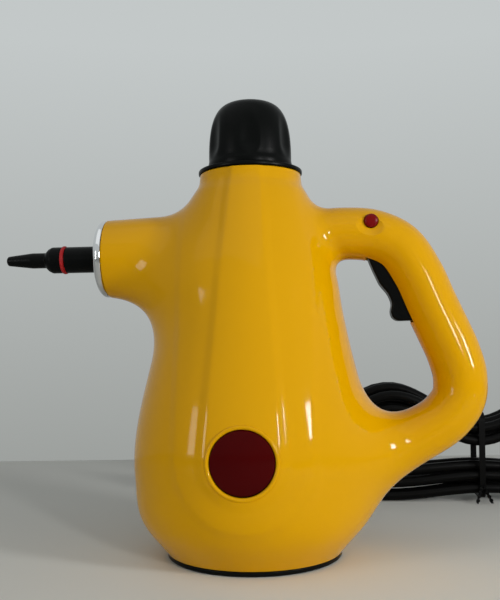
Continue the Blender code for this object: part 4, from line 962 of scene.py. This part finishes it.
# %% Screw bosses
SCREW_BOSS, BOSS_UNDER = 4.4 * MM, 0.8 * MM
NEARLY_ROUND, ROUND_SPOTS = 6, 12
bosses = []
for x, z in SCREW_PLACES:
    round_it = [(math.cos(t), math.sin(t)) for t in np.linspace(0, NEARLY_ROUND, ROUND_SPOTS)]
    rim_walls = [wall_at(x * MM + SCREW_BOSS * out_x, z * MM + SCREW_BOSS * out_z)
                 for out_x, out_z in round_it]
    boss_top = min(rim_walls) - BOSS_UNDER
    boss_outline = [(0, SEAM), (SCREW_BOSS, SEAM), (SCREW_BOSS, boss_top), (SCREW_HEAD + GAP, boss_top),
                    (SCREW_HEAD + GAP, HEAD_SEAT), (0, HEAD_SEAT)]
    bosses.append(turned(boss_outline, (x * MM, 0, z * MM), TO_FAR, 40))
piece("screw_bosses", *joined(*bosses), yellow, "housing", "yellow_abs")

# %% [markdown]
# ## Cap and collar
# The filler cap is a tall dome with six shallow finger flats. Each is the hollow of a wide leaning cylinder
# with a round foot. Six Boolean cuts would leave hard rims, so the dome is a grid of heights and angles
# instead, whose radius is the smaller of the dome's and the hollow's, with a fillet between.

# %% Cap outline
cap_low, cap_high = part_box("filler_cap")
CAP_RADIUS = (cap_high.y - cap_low.y) / 2
CAP_Z, CAP_TOP = cap_low.z, cap_high.z
SKIRT, SHOULDER, CAP_WALL = 2.5 * MM, 1.5 * MM, 3.4 * MM
dome_low = CAP_Z + SKIRT + SHOULDER
DOME_SHARE, DOME_SIDE, DOME_CROWN, DOME_ROWS = 0.985, 0.48, 0.75, 61
CAP_IN = CAP_RADIUS - CAP_WALL
CAP_SIDES = 216
dome = [(CAP_RADIUS * DOME_SHARE * math.cos(t) ** DOME_SIDE,
         dome_low + (CAP_TOP - dome_low) * math.sin(t) ** DOME_CROWN)
        for t in np.linspace(0, math.pi / 2, DOME_ROWS)[1:-1]]
skirt = eased([(CAP_IN, CAP_Z), (CAP_RADIUS, CAP_Z), (CAP_RADIUS, CAP_Z + SKIRT),
               (CAP_RADIUS * DOME_SHARE, dome_low),
               (CAP_RADIUS * (DOME_SHARE - 0.01), dome_low + 3.0 * MM)], 0.7 * MM)
skirt = [spot for spot in skirt if spot.y < dome[0][1] - 0.1 * MM and spot.x > CAP_IN + 0.2 * MM]
PLUG_SEAT, WELL_DEPTH, WELL_FOOT = 7.2 * MM, 6.6 * MM, 5.3 * MM
well = [(0, CAP_TOP - WELL_DEPTH), (PLUG_SEAT, CAP_TOP - WELL_DEPTH), (PLUG_SEAT, CAP_Z + WELL_FOOT),
        (CAP_IN, CAP_Z + 5.0 * MM), (CAP_IN, CAP_Z)]
cap_outline = [(spot.x, spot.y) for spot in skirt] + dome + [(0, CAP_TOP)] + well
print("cap outline points:", len(cap_outline))

# %% Cap
SCALLOPS, SCALLOP_RADIUS, SCALLOP_DEPTH, SCALLOP_RISE = 6, 14.0 * MM, 1.0 * MM, 2.0 * MM
SCALLOP_LEAN, SCALLOP_FOOT, SCALLOP_FILLET = 0.05, 9.0 * MM, 1.0 * MM
SCALLOP_TURN = math.radians(-86.0)
cap_points, cap_faces = turned(cap_outline, sides=CAP_SIDES)
outer_count = CAP_SIDES * (len(skirt) + len(dome))
shaped = np.array(cap_points)
angle = np.arctan2(shaped[:outer_count, 1], shaped[:outer_count, 0])
radius = np.hypot(shaped[:outer_count, 0], shaped[:outer_count, 1])
rise = shaped[:outer_count, 2] - CAP_Z - SCALLOP_RISE
centre = CAP_RADIUS * DOME_SHARE + SCALLOP_RADIUS - SCALLOP_DEPTH - SCALLOP_LEAN * rise
hollow = np.sqrt(np.clip(SCALLOP_RADIUS ** 2 - np.clip(SCALLOP_FOOT - rise, 0.0, None) ** 2, 0.0, None))
pitch = 2 * math.pi / SCALLOPS
turn = (angle - SCALLOP_TURN + pitch / 2) % pitch - pitch / 2
inside = hollow ** 2 - (centre * np.sin(turn)) ** 2
near_side = np.where(inside > 0, centre * np.cos(turn) - np.sqrt(np.clip(inside, 0.0, None)), 1.0)
shaped_radius = np.maximum(blend(radius, near_side, SCALLOP_FILLET), 1.0 * MM)
shaped[:outer_count, :2] *= (np.minimum(shaped_radius, radius) / radius)[:, None]
piece("cap_dome", shaped, cap_faces, black, "cap", "black_abs", "filler_cap", angle=50)

# %% [markdown]
# The collar is a flanged ring that closes the top of the two shells, a plain turned piece.

# %% Collar
collar_low, collar_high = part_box("filler_collar")
collar_radius = (collar_high.y - collar_low.y) / 2
COLLAR_HUB, COLLAR_BORE, COLLAR_FLANGE = 23.6 * MM, 16.8 * MM, 2.0 * MM
flange_z = collar_high.z - COLLAR_FLANGE
collar_outline = [(COLLAR_BORE, collar_high.z), (collar_radius, collar_high.z), (collar_radius, flange_z),
                  (COLLAR_HUB, flange_z), (COLLAR_HUB, collar_low.z), (COLLAR_BORE, collar_low.z)]
piece("collar_ring", *turned(eased(collar_outline, 0.6 * MM), sides=144), black, "housing", "black_abs",
      "filler_collar")

# %% [markdown]
# ## Nozzle and bezel
# The black nozzle is stepped: a stub that an attachment pushes onto, sealed by the red ring in its groove,
# then a shoulder and a thin tip. One outline, read from the flange to the tip, gives all of it.

# %% Nozzle
AXIS = (0, 0, SPOUT_Z)
TO_TIP = (-1, 0, 0)
STUB, STUB_END, TIP, TIP_END, RING_X = 7.0 * MM, 109.0 * MM, 4.1 * MM, 132.6 * MM, 100.6 * MM
BORE, PIPE, PIPE_START, FLANGE = 1.5 * MM, 4.7 * MM, 58.0 * MM, 11.5 * MM
GROOVE, GROOVE_HALF = 5.9 * MM, 1.1 * MM
WEB_X = SPOUT_REACH - 7.0 * MM
FLANGE_X = WEB_X - GAP
nozzle_outline = [(BORE, PIPE_START), (PIPE, PIPE_START), (PIPE, FLANGE_X - 4.0 * MM),
                  (FLANGE, FLANGE_X - 3.0 * MM), (FLANGE, FLANGE_X), (STUB, FLANGE_X),
                  (STUB, RING_X - GROOVE_HALF), (GROOVE, RING_X - GROOVE_HALF),
                  (GROOVE, RING_X + GROOVE_HALF), (STUB, RING_X + GROOVE_HALF),
                  (STUB, STUB_END - 1.8 * MM), (STUB - 0.5 * MM, STUB_END - 0.9 * MM),
                  (STUB - 0.9 * MM, STUB_END), (TIP, STUB_END + 2.0 * MM),
                  (TIP, TIP_END - 14.0 * MM), (TIP * 0.62, TIP_END - 0.8 * MM), (BORE, TIP_END)]
piece("nozzle", *turned(eased(nozzle_outline, 0.5 * MM), AXIS, TO_TIP, 72), black, "housing", "black_abs",
      "outlet_nozzle")
WIRE, BAND, RING_STEPS = 0.75 * MM, 1.05 * MM, 16
ring_outline = [(STUB - 0.2 * MM + WIRE * math.cos(t), RING_X + BAND * math.sin(t))
                for t in np.linspace(0, 2 * math.pi, RING_STEPS + 1)[:-1]]
piece("nozzle_seal", *turned(ring_outline, AXIS, TO_TIP, 72), silicone, "housing", "red_silicone",
      "nozzle_o_ring")

# %% [markdown]
# Behind the nozzle a plated ring closes the spout. Its rounded rim catches the light, which a flat one
# would not.

# %% Bezel
BEZEL_X = SPOUT_REACH + GAP
BEZEL_SPIGOT, BEZEL_BORE, WEB = 17.7 * MM, 15.0 * MM, 3.0 * MM
bezel_outline = [(STUB + GAP, WEB_X), (BEZEL_SPIGOT, WEB_X), (BEZEL_SPIGOT, BEZEL_X), (SPOUT_RADIUS, BEZEL_X),
                 (SPOUT_RADIUS, BEZEL_X + 2.4 * MM), (SPOUT_RADIUS - 1.6 * MM, BEZEL_X + 4.2 * MM),
                 (SPOUT_RADIUS - 3.2 * MM, BEZEL_X + 4.5 * MM), (BEZEL_BORE, BEZEL_X + 3.4 * MM),
                 (BEZEL_BORE, WEB_X + WEB), (STUB + GAP, WEB_X + WEB)]
piece("plated_ring", *turned(eased(bezel_outline, 0.9 * MM), AXIS, TO_TIP, 144), chrome, "housing",
      "chrome_plate", "spout_bezel")

# %% [markdown]
# ## Lens and lock button
# The lens is a shallow dome of dark red polycarbonate held by a flange behind the shell. A thin yellow lip
# stands round it; it follows the curved skin, so it is a tube whose every section is set on the skin there.

# %% Lens
lens_back = -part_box("indicator_lens")[1].y
LENS_FLANGE, LENS_FLANGE_THICK = LENS_RADIUS + 2.5 * MM, 1.8 * MM
FACE_RADIUS, FACE_SAG, FACE_STEPS = LENS_RADIUS - 0.5 * MM, 1.7 * MM, 13
lens_outline = [(0, lens_back), (LENS_FLANGE, lens_back), (LENS_FLANGE, lens_back + LENS_FLANGE_THICK),
                (LENS_RADIUS, lens_back + LENS_FLANGE_THICK), (LENS_RADIUS, lens_wall - 2.4 * MM)]
lens_face = [(FACE_RADIUS - FACE_RADIUS * t, lens_wall - FACE_SAG * (1 - t) ** 2)
             for t in np.linspace(0, 1, FACE_STEPS)]
lens_outline = eased(lens_outline, 0.4 * MM)[:-3] + lens_face
piece("lamp_lens", *turned(lens_outline, (0, 0, LENS_Z), TO_LAMP, 128), lens_red, "housing",
      "red_polycarbonate", "indicator_lens")

# %% Lens lip
LIP_RADIUS, LIP_SUNK = 1.1 * MM, 0.45 * MM
LIP_STEPS, LIP_SIDES = 96, 10
lip_points, lip_faces = [], []
for k in range(LIP_STEPS):
    turn = 2 * math.pi * k / LIP_STEPS
    out = Vector((math.cos(turn), 0, math.sin(turn)))
    reach = LENS_RADIUS + LIP_RADIUS + 0.05 * MM
    seat = -wall_at(reach * out.x, LENS_Z + reach * out.z) + LIP_SUNK
    for j in range(LIP_SIDES):
        round_it = 2 * math.pi * j / LIP_SIDES
        spot = out * (reach + LIP_RADIUS * math.cos(round_it))
        lip_points.append((spot.x, seat - LIP_RADIUS * math.sin(round_it), LENS_Z + spot.z))
        ahead_k, ahead_j = (k + 1) % LIP_STEPS * LIP_SIDES, (j + 1) % LIP_SIDES
        lip_faces.append((k * LIP_SIDES + j, k * LIP_SIDES + ahead_j, ahead_k + ahead_j, ahead_k + j))
piece("lens_lip", lip_points, lip_faces, yellow, "housing", "yellow_abs", angle=60)

# %% [markdown]
# The lock button is a small red dot in its dish, turned with a crowned face so that it catches one
# highlight.

# %% Lock button
lock_low, lock_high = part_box("lock_button")
lock_outline = [(0, -lock_high.y), (LOCK_RADIUS, -lock_high.y), (LOCK_RADIUS, -lock_low.y - 0.7 * MM),
                (LOCK_RADIUS * 0.7, -lock_low.y - 0.05 * MM), (0, -lock_low.y)]
lock_place = (LOCK_AT[0], 0, LOCK_AT[1])
piece("lock_cap", *turned(eased(lock_outline, 0.5 * MM), lock_place, TO_LAMP, 64), button_red,
      "lock_button", "red_polycarbonate", "lock_button")

# %% [markdown]
# ## Trigger
# The trigger has a stepped finger rest. Its side view is drawn out to its width, and a bevel modifier
# rounds the edges that a finger meets.

# %% Trigger
TRIGGER_OUTLINE = ((60.5, 157.0), (60.6, 152.5), (62.8, 147.0), (66.4, 139.0), (70.6, 134.0), (72.6, 129.0),
                   (71.6, 125.0), (72.4, 121.8), (74.8, 120.0), (84.5, 120.2), (84.6, 125.0), (80.5, 137.0),
                   (75.5, 150.0), (70.5, 160.0), (69.0, 168.0), (67.0, 171.6), (62.8, 171.6), (62.0, 170.0))
TRIGGER_HALF, TRIGGER_CORNER = 5.5 * MM, 2.0 * MM
trigger_corners = eased([(x * MM, z * MM) for x, z in TRIGGER_OUTLINE], TRIGGER_CORNER)
rounded = [(spot.x, spot.y) for spot in trigger_corners]
trigger = piece("trigger_lever", *slab(rounded, -TRIGGER_HALF, TRIGGER_HALF), black, "trigger", "black_abs",
                "trigger")
edge = trigger.modifiers.new("edge", "BEVEL")
edge.width = 1.0 * MM
edge.segments = 3
edge.limit_method = "ANGLE"
edge.angle_limit = math.radians(60)

# %% [markdown]
# ## Base
# The base is a black disc of which only the edge shows. A spigot centres it in the shells, and three posts
# carry the boiler. All of it is turned or drawn out, so plain outlines do, joined in one piece.

# %% Base
base_low, base_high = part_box("base_plate")
foot_lip = (base_high.y - base_low.y) / 2
SPIGOT, SPIGOT_WALL, SPIGOT_TOP, DISC_TOP = 42.4 * MM, 2.0 * MM, 8.0 * MM, 3.0 * MM
POST, POST_RING, POST_Z, POST_LENGTH = 4.0 * MM, 37.0 * MM, 1.0 * MM, 12.7 * MM
base_outline = [(0, 0), (foot_lip - 1.2 * MM, 0), (foot_lip, 0.8 * MM), (foot_lip, 2.7 * MM),
                (SPIGOT, 2.7 * MM), (SPIGOT, SPIGOT_TOP), (SPIGOT - SPIGOT_WALL, SPIGOT_TOP),
                (SPIGOT - SPIGOT_WALL, DISC_TOP), (0, DISC_TOP)]
post_feet = [(POST_RING * math.cos(turn), POST_RING * math.sin(turn), POST_Z)
             for turn in (math.pi / 3, math.pi, 5 * math.pi / 3)]
posts = [cylinder(POST, foot, POST_LENGTH, (0, 0, 1), 32) for foot in post_feet]
foot_mesh = joined(turned(eased(base_outline, 0.5 * MM), sides=144), *posts)
piece("foot_disc", *foot_mesh, black, "housing", "black_abs", "base_plate")

# %% [markdown]
# ## Springs
# Two coil springs work out of sight: one pushes the trigger's rod back and one holds the relief valve shut.
# Each is wound again in the box of its solid. A stiff coil would run into the rod or the poppet when they
# move.

# %% Springs
SPRING_WIRE, SPRING_GIVE, SPRING_TURNS = 0.8 * MM, 1.5 * MM, 5
COIL_STEPS, WIRE_SIDES = 36, 10


def coil(low, high, along, turns):
    """A round wire wound along an axis between the ends of a box."""
    side = Vector((0, 1, 0))
    other = along.cross(side)
    radius = (high.y - low.y - SPRING_WIRE) / 2
    length = (high - low).dot(along) - SPRING_WIRE
    steps = COIL_STEPS * turns
    points, faces = [], []
    for k in range(steps + 1):
        turn = 2 * math.pi * turns * k / steps
        out = side * math.cos(turn) + other * math.sin(turn)
        centre = (low + high) / 2 + along * length * (k / steps - 0.5) + out * radius
        for j in range(WIRE_SIDES):
            round_it = 2 * math.pi * j / WIRE_SIDES
            points.append(centre + (out * math.cos(round_it) + along * math.sin(round_it)) * SPRING_WIRE / 2)
    for k in range(0, steps * WIRE_SIDES, WIRE_SIDES):
        for j in range(WIRE_SIDES):
            onward = (j + 1) % WIRE_SIDES
            faces.append((k + j, k + onward, k + WIRE_SIDES + onward, k + WIRE_SIDES + j))
    faces += [range(WIRE_SIDES), range(steps * WIRE_SIDES, (steps + 1) * WIRE_SIDES)]
    return points, faces


spring_low, spring_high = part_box("return_spring")
spring = piece("rod_coil", *coil(spring_low, spring_high, Vector((1, 0, 0)), SPRING_TURNS), steel, "housing",
               "stainless_steel", "return_spring")
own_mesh(spring)
spring_low, spring_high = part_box("relief_spring")
spring = piece("relief_coil", *coil(spring_low, spring_high, Vector((0, 0, 1)), SPRING_TURNS), steel, "cap",
               "stainless_steel", "relief_spring")
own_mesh(spring)

# %% [markdown]
# ## Stage
# A pale satin table ends a little way behind the object, and the room's pale wall lies beyond it. A real
# wall would hide the object from views behind it, so the wall is the world's colour, which the camera and
# mirrors see: a soft grey that lightens upwards, with painted shade darkening it towards its foot. A plain
# dim grey lights the object.

# %% Stage
TABLE_BEHIND, TABLE_NEAR, TABLE_SPAN = 350 * MM, 2.5, 4.0
# Rubbed lacquer: a pale, even, satin surface that shows the shadows and hardly mirrors.
table, tree, shader, place = finish("lacquered_table", {"IOR": 1.45, "Specular IOR Level": 0.05})
vary(tree, shader, place, 300 * MM, "#DFE0DA", "#E4E5DF", (0.5, 0.58), 0.03, 4 * MM)
far_edge, near_edge, aside = level * TABLE_BEHIND, level * -TABLE_NEAR, flat_right * TABLE_SPAN
corners = [far_edge - aside, near_edge - aside, near_edge + aside, far_edge + aside]
piece("table", corners, [(0, 1, 2, 3)], table, None, None)
print("table's far edge, mm behind the object:", round(TABLE_BEHIND / MM))

# %% The room
FILL_STRENGTH = 0.3
WALL_FOOT, WALL_HEAD = -0.16, 0.36
world = bpy.data.worlds.new("room")
scene.world = world
world.use_nodes = True
tree = world.node_tree
fill = tree.nodes["Background"]
fill.inputs["Color"].default_value = srgb("#C9CCCC")
fill.inputs["Strength"].default_value = FILL_STRENGTH
look = node(tree, "ShaderNodeTexCoord")
split = node(tree, "ShaderNodeSeparateXYZ", {}, {"Vector": look.outputs["Generated"]})
# Painted shade on the wall: its grey darkens towards the foot and lightens upwards.
height = node(tree, "ShaderNodeMapRange", {"From Min": WALL_FOOT, "From Max": WALL_HEAD},
              {"Value": split.outputs["Z"]})
tone = node(tree, "ShaderNodeMix", {"data_type": "RGBA", 6: srgb("#9B9E9B"), 7: srgb("#C3C8C8")},
            {0: height.outputs["Result"]})
shaded_backdrop = node(tree, "ShaderNodeBackground", {}, {"Color": tone.outputs[2]})
ray = node(tree, "ShaderNodeLightPath")
seen = node(tree, "ShaderNodeMath", {"operation": "ADD"},
            {0: ray.outputs["Is Camera Ray"], 1: ray.outputs["Is Glossy Ray"]})
seen = node(tree, "ShaderNodeMath", {"operation": "ADD", "use_clamp": True},
            {0: seen.outputs[0], 1: ray.outputs["Is Transmission Ray"]})
mixed = node(tree, "ShaderNodeMixShader", {},
             {0: seen.outputs[0], 1: fill.outputs[0], 2: shaded_backdrop.outputs[0]})
tree.links.new(mixed.outputs[0], tree.nodes["World Output"].inputs["Surface"])
print("nodes of the room:", len(tree.nodes))

# %% [markdown]
# ## Light
# Two narrow panes of a window on the right give the white streaks on the gloss, a wider dim one on the left
# gives the faint streak there, and a large ceiling light fills. Area lamps are used because their shape is
# what the gloss mirrors. The panes' light is kept in a cone, or it would burn out the table near them.

# %% Light
PANE_CONE, OPEN_CONE = 100, 180
AIM = Vector((0, 0, 0.11))


def soft_light(name, azimuth, height, distance, size, power, spread=PANE_CONE):
    """A rectangular source at an azimuth measured from the camera's side, to the right."""
    turn = EYE_AZIMUTH + math.radians(azimuth)
    data = bpy.data.lights.new(name, "AREA")
    data.shape = "RECTANGLE"
    data.size, data.size_y = size
    data.energy = power
    data.spread = math.radians(spread)
    made = bpy.data.objects.new(name, data)
    made.location = (distance * math.sin(turn), -distance * math.cos(turn), height)
    made.rotation_mode = "QUATERNION"
    made.rotation_quaternion = (AIM - made.location).to_track_quat("-Z", "Y")
    scene.collection.objects.link(made)


soft_light("window_pane_near", 28, 0.28, 0.9, (0.075, 0.18), 0.6)
soft_light("window_pane_far", 55, 0.28, 0.9, (0.12, 0.18), 1.15)
soft_light("room_left", -55, 0.27, 1.2, (0.24, 0.36), 0.7)
soft_light("ceiling", -30, 1.5, 0.75, (2.2, 1.4), 3.8, OPEN_CONE)
